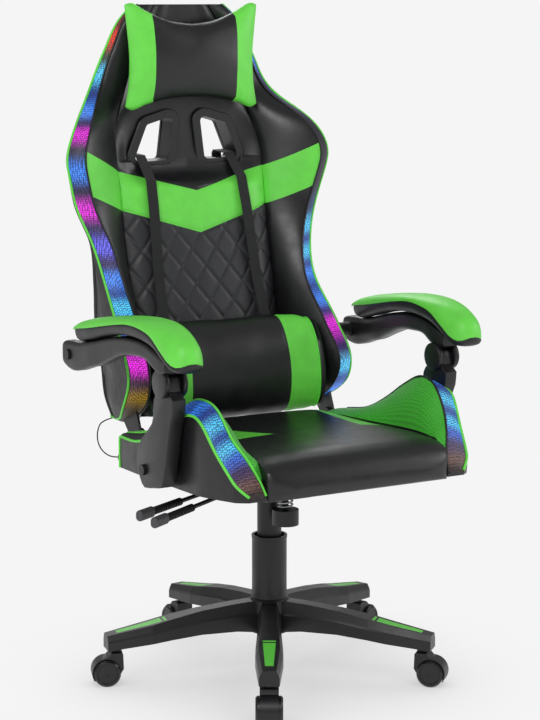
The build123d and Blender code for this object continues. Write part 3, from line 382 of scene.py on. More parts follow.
GAP, BLUE, CYAN, PINK, DIM_BLUE = "#3A2F66", "#3F8CFF", "#4FCCFF", "#F02FE6", "#1E4FA8"
BACK_STOPS = {
    "right": [
        (466, "#120C06"), (500, "#3A2C0A"), (530, "#8A6A1A"), (558, "#40203A"), (590, PINK),
        (628, GAP), (655, "#2A5FD0"), (688, CYAN), (712, DIM_BLUE), (738, BLUE), (766, GAP),
        (796, "#6E6CFF"), (832, GAP), (868, PINK), (903, "#302650"), (940, BLUE),
        (980, "#241C3C"), (1012, PINK), (1030, GAP), (1048, BLUE), (1082, "#1F3F90"),
        (1117, CYAN), (1150, "#3A4A38"), (1190, "#F03A24"), (1215, "#6A1A16"), (1250, "#150C10"),
    ],
    "left": [
        (466, "#1A3F90"), (500, BLUE), (528, DIM_BLUE), (555, CYAN), (590, GAP), (634, PINK),
        (655, "#3A1F80"), (674, BLUE), (700, DIM_BLUE), (725, BLUE), (742, DIM_BLUE),
        (765, CYAN), (790, DIM_BLUE), (815, CYAN), (850, "#173A70"), (900, "#151026"),
        (1000, "#0E0C14"), (1090, GAP), (1180, BLUE), (1250, GAP),
    ],
}
SEAT_STOPS = [
    (-317, "#2A1A12"), (-306, "#6E5148"), (-291, "#43305E"), (-277, "#3A6AD8"), (-262, CYAN),
    (-248, DIM_BLUE), (-234, CYAN), (-214, "#1B3F98"), (-190, "#2F7BE0"), (-165, "#1B4A9A"),
    (-130, "#1F55B0"), (-90, "#14244C"), (-50, "#0E0D12"), (110, "#0E0D12"),
]
back_glow = {
    side: glowing_mesh(f"{side}_back_light_mesh", "Z", stops, 1.6)
    for side, stops in BACK_STOPS.items()
}
seat_glow = glowing_mesh("seat_light_mesh", "Y", SEAT_STOPS, 1.5)

# %% [markdown]
# ## Smooth tables and skins
# The upholstery follows tables of measured sections. A cubic through the rows gives as many
# sections between them as a smooth cover needs. Each section becomes a loop of edges, and
# bridging each loop to the next makes the skin, so the mesh is all long clean quads.


# %% Table and skin helpers
def eased(table, places):
    """Rows of a table at new places, on a cubic through the table's own rows."""
    table = np.array(table, float)
    if table[0, 0] > table[-1, 0]:
        table = table[::-1]
    at, values = table[:, 0], table[:, 1:]
    steps = np.diff(at)
    slopes = np.diff(values, axis=0) / steps[:, None]
    tangents = np.vstack(
        [
            slopes[:1],
            (slopes[:-1] * steps[1:, None] + slopes[1:] * steps[:-1, None])
            / (steps[1:] + steps[:-1])[:, None],
            slopes[-1:],
        ]
    )
    rows = []
    for place in places:
        k = int(np.clip(np.searchsorted(at, place) - 1, 0, len(at) - 2))
        h = steps[k]
        t = (place - at[k]) / h
        rows.append(
            (2 * t**3 - 3 * t**2 + 1) * values[k]
            + (t**3 - 2 * t**2 + t) * h * tangents[k]
            + (3 * t**2 - 2 * t**3) * values[k + 1]
            + (t**3 - t**2) * h * tangents[k + 1]
        )
    return rows


def finish_piece(name, bm, materials, smooth=60, levels=0):
    """A bmesh in millimetres becomes an object in metres at the origin."""
    bmesh.ops.remove_doubles(bm, verts=bm.verts, dist=0.001)
    bmesh.ops.recalc_face_normals(bm, faces=bm.faces)
    bmesh.ops.scale(bm, vec=(MM, MM, MM), verts=bm.verts)
    mesh = bpy.data.meshes.new(name)
    bm.to_mesh(mesh)
    bm.free()
    for material in materials:
        mesh.materials.append(material)
    mesh.shade_smooth()
    mesh.set_sharp_from_angle(angle=radians(smooth))
    piece = bpy.data.objects.new(name, mesh)
    bpy.context.scene.collection.objects.link(piece)
    if levels:
        modifier = piece.modifiers.new("rounding", "SUBSURF")
        modifier.levels = modifier.render_levels = levels
    return piece


def skin(loops, flip=1):
    """Bridges closed loops of 3-D points into one capped skin."""
    bm = bmesh.new()
    rings = []
    for loop in loops:
        ring = [bm.verts.new((flip * x, y, z)) for x, y, z in loop]
        rings.append([bm.edges.new((a, b)) for a, b in zip(ring, ring[1:] + ring[:1])])
    for first, second in zip(rings, rings[1:]):
        bmesh.ops.bridge_loops(bm, edges=first + second)
    for ring in (rings[0], rings[-1]):
        bmesh.ops.holes_fill(bm, edges=ring, sides=len(ring))
    return bm


def place_piece(piece, body, *replaced, slot=None):
    """The piece rides on a body and stands for CAD nodes."""
    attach(piece, body)
    if replaced:
        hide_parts(*replaced)
    return piece


def piping(name, points, radius, material, body, closed=False):
    """A round cord sewn along a seam."""
    curve = bpy.data.curves.new(name, "CURVE")
    curve.dimensions = "3D"
    curve.bevel_depth = 1.0
    curve.bevel_resolution = 2
    curve.resolution_u = 3
    curve.use_fill_caps = True
    spline = curve.splines.new("NURBS")
    spline.points.add(len(points) - 1)
    for knot, (x, y, z) in zip(spline.points, points):
        knot.co = (x * MM, y * MM, z * MM, 1)
        knot.radius = radius * MM
    spline.order_u = 3
    spline.use_endpoint_u = not closed
    spline.use_cyclic_u = closed
    curve.materials.append(material)
    cord_piece = bpy.data.objects.new(name, curve)
    bpy.context.scene.collection.objects.link(cord_piece)
    if body:
        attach(cord_piece, body)
    return cord_piece


def between(a, b, t):
    return tuple(p + (q - p) * t for p, q in zip(a, b))


def push(bm, face, vec):
    """Extrudes one face along a vector."""
    pushed = bmesh.ops.extrude_face_region(bm, geom=[face])["geom"]
    moved = [v for v in pushed if isinstance(v, bmesh.types.BMVert)]
    bmesh.ops.translate(bm, vec=vec, verts=moved)


def slice_faces(bm, faces, point, normal):
    """Cuts some faces of a mesh along a plane, so that two colours can meet there."""
    verts = dict.fromkeys(v for f in faces for v in f.verts)
    edges = dict.fromkeys(e for f in faces for e in f.edges)
    bmesh.ops.bisect_plane(
        bm,
        geom=[*verts, *edges, *faces],
        plane_co=point,
        plane_no=Vector(normal).normalized(),
        dist=0.01,
    )


# A band lies in a bed this deep between its two pipings.
BAND = 4.0


def deeper(point, sunk, depth):
    """A point of a cut, moved into the foam; a negative depth lifts it."""
    return (point[0] + depth * sunk[0], point[1] + depth * sunk[1])


def band_section(rim, crest, sunk):
    """One cut of a light band: a low crown between its pipings and a flat underside."""
    crown = [between(rim, crest, t) for t in (0.08, 0.3, 0.5, 0.7, 0.92)]
    top = [deeper(p, sunk, -lift) for p, lift in zip(crown, (0.2, 1.8, 2.2, 1.8, 0.2))]
    return top + [deeper(p, sunk, BAND - 0.4) for p in (crown[-1], crown[0])]


# %% [markdown]
# ## The light cable
# A thin black lead links the lights of the back to those of the seat. It leaves the back's lower
# rear corner, drops in one free loop and goes into a small plug on the seat, so there is slack
# when the back reclines. It is one smooth spline through few control points, turned to a mesh.

# %% Cable
CABLE_ROUTE = [
    (-203, 252, 464),
    (-226, 255, 460),
    (-244, 236, 447),
    (-256, 212, 431),
    (-261, 184, 419),
    (-261, 155, 414),
    (-257, 135, 414),
    (-250, 122.8, 416),
]


def mesh_of(piece):
    """A new mesh with the piece's modifiers or bevel applied."""
    bpy.context.view_layer.update()
    depsgraph = bpy.context.evaluated_depsgraph_get()
    return bpy.data.meshes.new_from_object(piece.evaluated_get(depsgraph), depsgraph=depsgraph)


drawn = piping("cable_line", CABLE_ROUTE, 1.25, cable_skin, None)
drawn.data.resolution_u = 10
drawn.data.bevel_resolution = 4
cable = bpy.data.objects.new("light_cable", mesh_of(drawn))
drawn.data.bevel_depth = 0
cable_path = [tuple(v.co) for v in mesh_of(drawn).vertices]
bpy.data.objects.remove(drawn)
bpy.context.scene.collection.objects.link(cable)
cable.data.shade_smooth()
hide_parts("led_cable")
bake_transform(cable)

# %% [markdown]
# ## The back's sections
# The back is a bucket: a flat middle and two wings that come forward at the hips and again at the
# shoulders. Each row of the table is one level cut. Everything on the back reads this table, so
# cushion, wings, bands, piping and shell meet each other.

# %% Back table
#   z, rim x, rim y, inward, forward, seam x, seam y, middle, rear, corner x, corner y
BACK_ROWS = [
    (466, 213, 203, 10, 20, 160, 215, 205, 295, 205, 255),
    (500, 238, 140, 36, 18, 160, 212, 204, 303, 212, 268),
    (560, 243, 100, 36, 18, 160, 214, 205, 315, 214, 280),
    (640, 237, 150, 36, 18, 160, 240, 224, 330, 218, 297),
    (720, 229, 219, 31, 19, 160, 258, 246, 340, 226, 284),
    (800, 240, 252, 29, 20, 160, 277, 266, 348, 238, 272),
    (880, 268, 270, 28, 22, 160, 290, 281, 358, 262, 290),
    (905, 275, 267, 28, 22, 160, 294, 290, 362, 267, 288),
    (928, 281, 264, 28, 22, 160, 300, 321, 366, 271, 286),
    (958, 287, 262, 28, 22, 160, 306, 330, 370, 276, 285),
    (1025, 258, 284, 24, 18, 150, 326, 334, 374, 245, 308),
    (1075, 208, 341, 18, 12, 130, 339, 336, 376, 196, 358),
    (1163, 161, 357, 12, 8, 100, 341, 340, 380, 150, 368),
    (1235, 118, 355, 8, 6, 70, 341, 340, 376, 108, 366),
    (1251, 98, 357, 7, 5, 60, 343, 342, 371, 89, 364),
]
back_levels = list(np.arange(467, 1250, 7.0)) + [1250.5]
back_cuts = [(z, *row) for z, row in zip(back_levels, eased(BACK_ROWS, back_levels))]


CUSHION_HALF = 160


def chevron_edges(x):
    """Lower and upper edge of the green chevron at half width x."""
    inner, outer = min(abs(x), CUSHION_HALF), max(abs(x) - CUSHION_HALF, 0)
    return 811 + 0.3 * inner + 0.42 * outer, 892 + 0.26 * inner + 0.475 * outer


def split_at_chevron(bm):
    """Cuts the mesh along the chevron's edges, so that its colours meet on clean lines."""
    for side in (-1, 1):
        for reach in (0, CUSHION_HALF):
            for edge in (0, 1):
                near = chevron_edges(reach)[edge]
                far = chevron_edges(reach + 100)[edge]
                faces = [
                    f
                    for f in bm.faces
                    if side * f.calc_center_median().x > reach - 8
                    and side * f.calc_center_median().x < reach + 175
                ]
                slice_faces(bm, faces, (side * reach, 0, near), (side * (near - far), 0, 100))


def paint_chevron(bm, below, above, green):
    """Gives each face the material of its zone; faces that look backwards stay plain."""
    for f in bm.faces:
        middle = f.calc_center_median()
        low, high = chevron_edges(middle.x)
        if f.normal.y > 0.35:
            f.material_index = above
        elif middle.z < low:
            f.material_index = below
        elif middle.z < high:
            f.material_index = green
        else:
            f.material_index = above


# %% [markdown]
# ## Wings of the back
# Each wing is foam under leather: a full, rounded inner face that sinks into the seam beside the
# middle cushion, a crest, a bed for the light band, and a flatter outer side. The inner face is
# bulged by a sine between its two seams, which is how a stuffed panel held at its edges sits.

# %% Wings, bands and their piping
SIDES = (("left", 1), ("right", -1))
SEAM_SINK = 3  # how far behind the table's seam the leather is sewn down
WING_PUFF = 0.075  # the bulge of the inner face, as a share of its width
for side, flip in SIDES:
    loops, band_loops, rim_line, crest_line, corner_line = [], [], [], [], []
    for z, *row in back_cuts:
        rim_x, rim_y, inward, forward, seam_x, seam_y, _, rear, corner_x, corner_y = row
        rim = (rim_x, rim_y)
        crest = (rim_x - inward, rim_y - forward)
        run = (inward**2 + forward**2) ** 0.5
        sunk = (-forward / run, inward / run)
        seam = (seam_x, seam_y + SEAM_SINK)
        width = ((crest[0] - seam[0]) ** 2 + (crest[1] - seam[1]) ** 2) ** 0.5
        puff_x, puff_y = (crest[1] - seam[1]) / width, -(crest[0] - seam[0]) / width
        face = []
        for k in range(8):
            t = k / 7.6
            puff = WING_PUFF * width * sin(pi * t) ** 0.8
            x, y = between(seam, crest, t)
            face.append((x + puff * puff_x, y + puff * puff_y))
        outer = between(rim, (corner_x, corner_y), 0.5)
        lean = ((corner_x - seam_x) ** 2 + (rear - corner_y) ** 2) ** 0.5
        inside = ((rear - corner_y) / lean, (corner_x - seam_x) / lean)
        loop = face + [
            deeper(crest, sunk, 1.2),
            deeper(crest, sunk, BAND),
            deeper(rim, sunk, BAND),
            deeper(rim, sunk, 1.2),
            (outer[0] + 2.5, outer[1]),
            (corner_x - 5.6 * inside[0], corner_y - 5.6 * inside[1]),
            (seam_x, rear - 20.5),
        ]
        loops.append([(x, y, z) for x, y in loop])
        band_loops.append([(x, y, z) for x, y in band_section(rim, crest, sunk)])
        rim_line.append((flip * rim_x, rim_y, z))
        crest_line.append((flip * crest[0], crest[1], z))
        corner_line.append((flip * corner_x, corner_y, z))
    wing_mesh = skin(loops, flip)
    bmesh.ops.recalc_face_normals(wing_mesh, faces=wing_mesh.faces)
    split_at_chevron(wing_mesh)
    bmesh.ops.recalc_face_normals(wing_mesh, faces=wing_mesh.faces)
    paint_chevron(wing_mesh, 0, 0, 1)
    for f in wing_mesh.faces:
        # the outer side is a duller, lighter leather
        if f.normal.x * flip > 0.8:
            f.material_index = 2
    wing = finish_piece(f"wing_{side}", wing_mesh, [black_leather, green_leather, side_leather])
    place_piece(wing, "backrest", f"back_bolster_{side}", slot="black_foam")
    band = finish_piece(f"wing_light_{side}", skin(band_loops, flip), [back_glow[side]])
    place_piece(band, "backrest", f"back_light_{side}", slot="light_mesh")
    heel = corner_line[0]
    rim_path = [heel, between(heel, rim_line[0], 0.5)] + rim_line[::-3][::-1]
    piping(f"rim_piping_{side}", rim_path, 2.4, green_piping, "backrest")
    piping(f"crest_piping_{side}", crest_line[::3] + crest_line[-1:], 2.0, black_piping, "backrest")
print("wings", len(loops), "sections")

# %% [markdown]
# ## Middle cushion
# Below the chevron the leather is quilted: crossed lines of stitching pull it down into the foam
# and leave diamonds between them. The mesh is dense enough here for the diamonds to be real
# relief. Above it is plain. The two belt openings are cut with the same outline as the CAD's.

# %% Middle cushion
OPENING = [(29, 1036), (87, 1020), (117, 948), (40, 950)]
BEZEL_LAP = 7.5  # the covers are cut this much wider, under the bezels


def opening_cutter(grow, y_from, y_to):
    """Prisms through both belt openings, grown outwards."""
    bm = bmesh.new()
    centre = np.mean(OPENING, axis=0)
    for flip in (-1, 1):
        corners = []
        for x, z in OPENING:
            away = np.array([x, z]) - centre
            away = away / np.linalg.norm(away) * grow * 1.3
            corners.append(bm.verts.new((flip * (x + away[0]), y_from, z + away[1])))
        bm.faces.new(corners)
        bmesh.ops.bevel(
            bm,
            geom=corners,
            offset=9 + 0.4 * grow,
            segments=5,
            affect="VERTICES",
            profile=0.5,
            material=-1,
        )
        near = [f for f in bm.faces if f.calc_center_median().x * flip > 0]
        flat = [f for f in near if all(abs(v.co.y - y_from) < 1e-4 for v in f.verts)]
        push(bm, max(flat, key=lambda f: f.calc_area()), (0, y_to - y_from, 0))
    return finish_piece("opening_cutter", bm, [])


def cut_openings(piece, grow, y_from, y_to):
    """Cuts both openings out of a piece and applies the cut."""
    cutter = opening_cutter(grow, y_from, y_to)
    modifier = piece.modifiers.new("openings", "BOOLEAN")
    modifier.object = cutter
    modifier.solver = "EXACT"
    cut = mesh_of(piece)
    piece.modifiers.clear()
    piece.data = cut
    bpy.data.objects.remove(cutter)


DIAMOND_WIDE, DIAMOND_HIGH = 52.0, 68.0
pad_levels = list(np.arange(467, 1250, 3.0)) + [1250.5]
loops = []
for z, row in zip(pad_levels, eased(BACK_ROWS, pad_levels)):
    rim_x, rim_y, inward, forward, seam_x, seam_y, middle, rear, corner_x, corner_y = row
    half = seam_x - 0.8
    flat = 0.1 if z > 950 else 0.4
    profile = [
        (0, middle),
        (0.45 * half, middle + 0.4 * flat * (seam_y - middle)),
        (0.84 * half, middle + flat * (seam_y - middle)),
        (half, seam_y + 3),
    ]
    xs = np.linspace(-half, half, 121)
    ys = [float(v[0]) for v in eased(profile, np.abs(xs))]
    loop = []
    for x, y in zip(xs, ys):
        low, high = chevron_edges(x)
        edge = 1 - abs(x) / half
        puff = 5.0 * (1 - np.exp(-edge * 14))
        relief = 0.0
        if z < low - 2:
            u, v = x / DIAMOND_WIDE + z / DIAMOND_HIGH, x / DIAMOND_WIDE - z / DIAMOND_HIGH
            for w in (u, v):
                off = abs(w - round(w)) * DIAMOND_WIDE * 0.79
                relief += 2.8 * np.exp(-((off / 2.4) ** 2))
            relief = min(relief, 3.2) - 1.2
        for line in (low, high):
            relief += 2.2 * np.exp(-(((z - line) / 3.0) ** 2))
        loop.append((x, y - puff + relief + 3, z))
    loop += [(half, rear - 20.8, z), (-half, rear - 20.8, z)]
    loops.append(loop)
pad_mesh = skin(loops)
split_at_chevron(pad_mesh)
bmesh.ops.recalc_face_normals(pad_mesh, faces=pad_mesh.faces)
paint_chevron(pad_mesh, 2, 0, 1)
pad_leathers = [black_leather, green_leather, quilt_leather]
back_pad = finish_piece("back_pad", pad_mesh, pad_leathers, smooth=75)
cut_openings(back_pad, BEZEL_LAP, 240, 400)
place_piece(back_pad, "backrest", "back_cushion", slot="charcoal_foam")
print("back pad faces", len(back_pad.data.polygons))

# %% [markdown]
# ## Back cover
# Behind, one leather cover is stretched over the shell. It is smooth, with a small roll where it
# turns forward to the wings' outer sides.

# %% Back cover
loops = []
COVER_T = 5
for z, *row in back_cuts:
    seam_x, rear, corner_x, corner_y = row[4], row[7], row[8], row[9]
    corner = (corner_x, corner_y)
    bend = [
        corner,
        between(corner, (seam_x, rear), 0.35),
        between(corner, (seam_x, rear), 0.75),
        (seam_x - 8, rear - 0.5),
        (seam_x * 0.6, rear + 0.6),
        (0, rear + 0.8),
    ]
    outside = bend + [(-x, y) for x, y in reversed(bend[:-1])]
    lean = ((corner_x - seam_x) ** 2 + (rear - corner_y) ** 2) ** 0.5
    inside = ((corner_y - rear) / lean, (seam_x - corner_x) / lean)
    inner = [deeper(corner, inside, COVER_T), (seam_x - 2, rear - COVER_T)]
    loop = outside + [(-x, y) for x, y in inner] + inner[::-1]
    loops.append([(x, y, z) for x, y in loop])
back_cover = finish_piece("back_cover", skin(loops), [black_leather], smooth=50)
cut_openings(back_cover, BEZEL_LAP, 340, 400)
place_piece(back_cover, "backrest", "back_shell", slot="black_leather")

# %% [markdown]
# ## Seat
# The seat is a flat cushion between two raised wings. The cushion is one box of foam: crowned
# across, pulled down at the seams beside the wings, and rolled over at the front. The wings carry
# a light band on their outer slope and green air mesh on their inner one.

# %% Seat cushion
CUSHION_ROWS = [
    (112, 470, 1.0),
    (30, 472, 1.0),
    (-60, 475, 1.0),
    (-165, 482, 1.0),
    (-240, 484, 1.0),
    (-290, 480, 1.0),
    (-308, 473, 1.0),
    (-319, 464, 0.99),
    (-328, 451, 0.9),
    (-334, 438, 0.72),
]


# distance in front of the axis, and the height of the front roll's underside there
FRONT_ROLL = ([290, 292, 308, 319, 328, 334], [426, 409, 409, 412, 418, 428])


def seat_floor(y):
    return 403.5 - 0.035 * y


loops = []
cushion_places = list(np.arange(110, -300, -8.0)) + list(np.arange(-302, -334, -3.0)) + [-334]
for y, (top, wide) in zip(cushion_places, eased(CUSHION_ROWS, cushion_places)):
    half = 186.5 * wide
    if y > -290:
        bottom = seat_floor(y) + 12.3
    else:
        bottom = float(np.interp(-y, *FRONT_ROLL))
    loop = []
    for x in np.linspace(-half, half, 49):
        edge = 1 - abs(x) / half
        crown = 5.0 * (1 - np.exp(-edge * 10)) + 3.0 * (1 - (x / half) ** 2)
        loop.append((x, y, top - 6 + crown))
    side = [(half - 0.6, y, bottom + (top - 8 - bottom) * t) for t in (0.66, 0.33)]
    loop += side + [(half - 1, y, bottom), (-half + 1, y, bottom)]
    loop += [(-x, y, z) for x, _, z in side[::-1]]
    loops.append(loop)
seat_mesh = skin(loops)
SEAT_TOP = 440  # faces above this height are on the seat's upper side
# outlines of the two green accents, seen from above
ACCENTS = [
    [(-190, 0), (-92, -12), (-48, -102), (-118, -106), (-190, -130)],
    [(190, 116), (168, 116), (139, -102), (190, -126)],
]
for corners in ACCENTS:
    for a, b in zip(corners, corners[1:] + corners[:1]):
        if abs(a[0]) == abs(b[0]) == 190:
            continue
        faces = []
        for f in seat_mesh.faces:
            m = f.calc_center_median()
            if m.z > SEAT_TOP and m.x * corners[0][0] > 0:
                faces.append(f)
        slice_faces(seat_mesh, faces, (a[0], a[1], 0), (a[1] - b[1], b[0] - a[0], 0))


def in_outline(x, y, corners):
    """Whether a point is inside a convex or bent outline, by counting crossings."""
    inside = False
    for (ax, ay), (bx, by) in zip(corners, corners[1:] + corners[:1]):
        if (ay > y) != (by > y) and x < ax + (bx - ax) * (y - ay) / (by - ay):
            inside = not inside
    return inside


for f in seat_mesh.faces:
    m = f.calc_center_median()
    if m.z > SEAT_TOP and any(in_outline(m.x, m.y, corners) for corners in ACCENTS):
        f.material_index = 1
seat_pad = finish_piece("seat_pad", seat_mesh, [black_leather, green_leather], smooth=60)
place_piece(seat_pad, "seat", "seat_cushion", slot="charcoal_foam")

# %% Seat wings
BOLSTER_ROWS = [
    (110, 258, 459, 242, 464, 462),
    (30, 262, 464, 240, 480, 468),
    (-40, 263, 486, 238, 512, 472),
    (-100, 264, 522, 236, 546, 476),
    (-165, 265, 546, 233, 571, 480),
    (-221, 263, 540, 227, 556, 482),
    (-258, 254, 492, 221, 512, 480),
    (-285, 246, 462, 206, 480, 474),
    (-304, 238, 440, 193, 446, 440),
    (-317, 222, 424, 189, 424, 422),
]
bolster_places = list(np.arange(110, -300, -7.0)) + list(np.arange(-300, -317, -3.0)) + [-317]
bolster_cuts = [(y, *row) for y, row in zip(bolster_places, eased(BOLSTER_ROWS, bolster_places))]
SEAT_HALF = 187
SEAT_PUFF = 0.07
for side, flip in SIDES:
    loops, band_loops, outer_line, ridge_line, floor_line = [], [], [], [], []
    for y, outer, piping_z, ridge_x, ridge, inner in bolster_cuts:
        floor_z = seat_floor(y)
        run = ((outer - ridge_x) ** 2 + (ridge - piping_z) ** 2) ** 0.5
        sunk = (-(ridge - piping_z) / run, -(outer - ridge_x) / run)
        rim, crest = (outer, piping_z), (ridge_x, ridge)
        foot = (SEAT_HALF, min(inner, ridge - 5))
        deep = ((crest[0] - foot[0]) ** 2 + (crest[1] - foot[1]) ** 2) ** 0.5
        puff_x, puff_z = -(crest[1] - foot[1]) / deep, (crest[0] - foot[0]) / deep
        face = []
        for k in range(7):
            t = 1 - k / 6
            x, z = between(foot, crest, t)
            puff = SEAT_PUFF * deep * sin(pi * t) if 0 < t < 1 else 0
            face.append((x + puff * puff_x, z + puff * puff_z))
        loop = [
            (outer, floor_z),
            (outer + 0.8, (floor_z + piping_z) / 2),
            (outer, piping_z - 1),
            deeper(rim, sunk, BAND),
            deeper(crest, sunk, BAND),
        ] + face + [(SEAT_HALF + 0.3, floor_z)]
        loops.append([(x, y, z) for x, z in loop])
        band_loops.append([(x, y, z) for x, z in band_section(rim, crest, sunk)])
        outer_line.append((flip * outer, y, piping_z))
        ridge_line.append((flip * ridge_x, y, ridge))
        floor_line.append((flip * outer, y, floor_z))
    wing_mesh = skin(loops, flip)
    bmesh.ops.recalc_face_normals(wing_mesh, faces=wing_mesh.faces)
    for f in wing_mesh.faces:
        m = f.calc_center_median()
        if f.normal.z > 0.12 and abs(m.x) < 238 and m.y > -300:
            f.material_index = 1
    seat_wing = finish_piece(f"seat_wing_{side}", wing_mesh, [black_leather, green_mesh], smooth=55)
    place_piece(seat_wing, "seat", f"seat_bolster_{side}", slot="black_foam")
    band = finish_piece(f"seat_wing_light_{side}", skin(band_loops, flip), [seat_glow])
    place_piece(band, "seat", f"seat_light_{side}", slot="light_mesh")
    rear_drop = [between(outer_line[0], floor_line[0], t) for t in (1.0, 0.6, 0.25)]
    outer_path = rear_drop + outer_line[::2] + outer_line[-1:]
    piping(f"seat_outer_piping_{side}", outer_path, 2.6, green_piping, "seat")
    ridge_path = ridge_line[::2] + ridge_line[-1:]
    ridge_skin = green_piping if side == "right" else black_piping
    piping(f"seat_ridge_piping_{side}", ridge_path, 2.2, ridge_skin, "seat")
print("seat pieces made")

# %% [markdown]
# ## Pillows
# The head pillow is a stuffed envelope: its edges draw in between the corners and its thickness
# falls to a sewn edge all round, so a grid whose thickness is a rounded product of both directions
# gives it. The lumbar pillow is a soft roll with flat ends, so it is a row of ovals. Both have a
# black middle and green ends.

# %% Head pillow
HEAD_HALF = 147
HEAD_TOP = [(0, 1215), (50, 1221), (100, 1240), (132, 1256), (147, 1251)]
HEAD_SIDE = [(1056, 147), (1095, 139), (1155, 136), (1215, 142), (1251, 147)]
HEAD_BOTTOM = [(0, 1072), (50, 1069), (100, 1059), (136, 1049), (147, 1056)]
HEAD_Y, HEAD_DEEP, HEAD_REAR = 302, 30, 334
bm = bmesh.new()
bmesh.ops.create_grid(bm, x_segments=48, y_segments=34, size=1.0)
flat = bmesh.ops.duplicate(bm, geom=list(bm.faces))
back_side = {v for v in flat["geom"] if isinstance(v, bmesh.types.BMVert)}
for v in bm.verts:
    u, w = v.co.x, v.co.y
    across = min(abs(u), 1) * HEAD_HALF
    low = float(eased(HEAD_BOTTOM, [across])[0][0])
    high = float(eased(HEAD_TOP, [across])[0][0])
    z = low + (high - low) * (w + 1) / 2
    reach = float(eased(HEAD_SIDE, [min(max(z, 1056), 1251)])[0][0])
    fat = (max(1 - u**2, 0) ** 0.42) * (max(1 - w**2, 0) ** 0.42)
    wrinkle = 1.2 * sin(9 * u + 3 * w) * sin(7 * w - 2 * u) * (1 - fat) * fat * 4
    half_deep = HEAD_DEEP * fat + wrinkle * 0.6
    y = HEAD_Y + (half_deep if v in back_side else -half_deep)
    v.co = (u * reach, min(y, HEAD_REAR), z)
bmesh.ops.remove_doubles(bm, verts=bm.verts, dist=0.4)
HEAD_SEAM = 90.0
for flip in (-1, 1):
    slice_faces(bm, list(bm.faces), (flip * HEAD_SEAM, 0, 0), (1, 0, 0))
for f in bm.faces:
    if abs(f.calc_center_median().x) > HEAD_SEAM:
        f.material_index = 1
head_rest = finish_piece("head_rest", bm, [black_leather, green_leather], smooth=70, levels=1)
place_piece(head_rest, "backrest", "head_pillow", slot="black_foam")

# %% Lumbar pillow
ROLL = [
    (-178, 10, 41.5, 120),
    (-177, 26, 66.4, 121),
    (-172, 36, 81.0, 130),
    (-160, 43, 89.3, 141),
    (-130, 48, 93.4, 149),
    (0, 49, 94.5, 150),
    (130, 48, 93.4, 149),
    (160, 43, 89.3, 141),
    (172, 36, 81.0, 130),
    (177, 26, 66.4, 121),
    (178, 10, 41.5, 120),
]
tilt = radians(12.0)
ROLL_Z = 560
ROLL_SEAM, ROLL_END = 108, 168
ends = [162, 168, 172, 175, 177, 178]
roll_places = [-x for x in reversed(ends)] + list(np.arange(-156, 157, 6.0)) + ends


def roll_point(x, centre, d, h):
    """A point of the tilted roll, from its distance behind and above the middle line."""
    return (x, centre + d * cos(tilt) + h * sin(tilt), ROLL_Z - d * sin(tilt) + h * cos(tilt))


loops = []
for x, (deep, high, centre) in zip(roll_places, eased(ROLL, roll_places)):
    pinch = 1 - 0.018 * (np.exp(-(((abs(x) - ROLL_SEAM) / 2.5) ** 2)))
    loop = []
    for k in range(40):
        angle = 2 * pi * k / 40
        fold = 1 + 0.006 * sin(5 * angle + x / 17) * sin(x / 23)
        d, h = deep * pinch * fold * cos(angle), high * pinch * fold * sin(angle)
        loop.append(roll_point(x, centre, d, h))
    loops.append(loop)
bm = skin(loops)
bmesh.ops.recalc_face_normals(bm, faces=bm.faces)
for f in bm.faces:
    reach = abs(f.calc_center_median().x)
    f.material_index = 1 if ROLL_SEAM < reach < ROLL_END else 0
lumbar_roll = finish_piece("lumbar_roll", bm, [black_leather, green_leather], smooth=65)
place_piece(lumbar_roll, "backrest", "lumbar_pillow", slot="black_foam")
for side, flip in SIDES:
    deep, high, centre = eased(ROLL, [ROLL_END])[0]
    ring = []
    for k in range(28):
        angle = 2 * pi * k / 28
        d, h = (deep + 0.6) * cos(angle), (high + 0.6) * sin(angle)
        ring.append(roll_point(flip * ROLL_END, centre, d, h))
    piping(f"roll_piping_{side}", ring, 1.8, green_piping, "backrest", closed=True)
print("pillows made")

# %% [markdown]
# ## Armrests
# Each armrest is three mouldings: a beam with two long ridges, a black pad base with a bead along
# its lower edge, and a green skin over foam on top. The post is a flat lever with rounded edges
# and a wide foot. Rounded sections in a row make the first three, and an outline pushed sideways
# and bevelled makes the post.

# %% Armrest beams and pads
BEAM_ROWS = [
    (222, 301, 319, 603, 616),
    (219, 298, 322, 593, 624),
    (208, 297, 323, 583, 631),
    (192, 297, 323, 578.5, 633),
    (178, 297, 323, 577.5, 634),
    (155, 297, 323, 581, 634.5),
    (110, 293, 322, 594, 642.5),
    (86, 290, 321, 600, 648),
    (40, 285, 319, 617, 659),
    (-10, 279, 318, 633, 667.5),
    (-60, 273, 316, 639, 671),
    (-110, 269, 315, 637, 668),
    (-140, 266, 314, 624, 661),
    (-160, 267, 313, 619, 655),
    (-176, 270, 311, 625, 648),
]
PAD_ROWS = [
    (177, 304.5, 12, 652, 655, 659),
    (172, 304.5, 17, 648, 656, 663),
    (156, 304, 21, 638, 660, 671),
    (110, 302, 27, 643.5, 667, 684),
    (40, 299, 31, 660.5, 680, 697),
    (-20, 296, 34, 670.5, 691, 705),
    (-66, 294, 35, 672.5, 697, 709.5),
    (-110, 292, 36, 669.5, 696, 711),
    (-153, 291, 36, 660.5, 687, 709),
    (-190, 291, 35, 643.5, 665, 702.5),
    (-215, 291, 32, 632.5, 649, 693),
    (-233, 291, 26, 632.5, 644, 682),
    (-242, 291, 16, 638, 647, 670),
    (-245, 291, 7, 644, 650, 660),
]


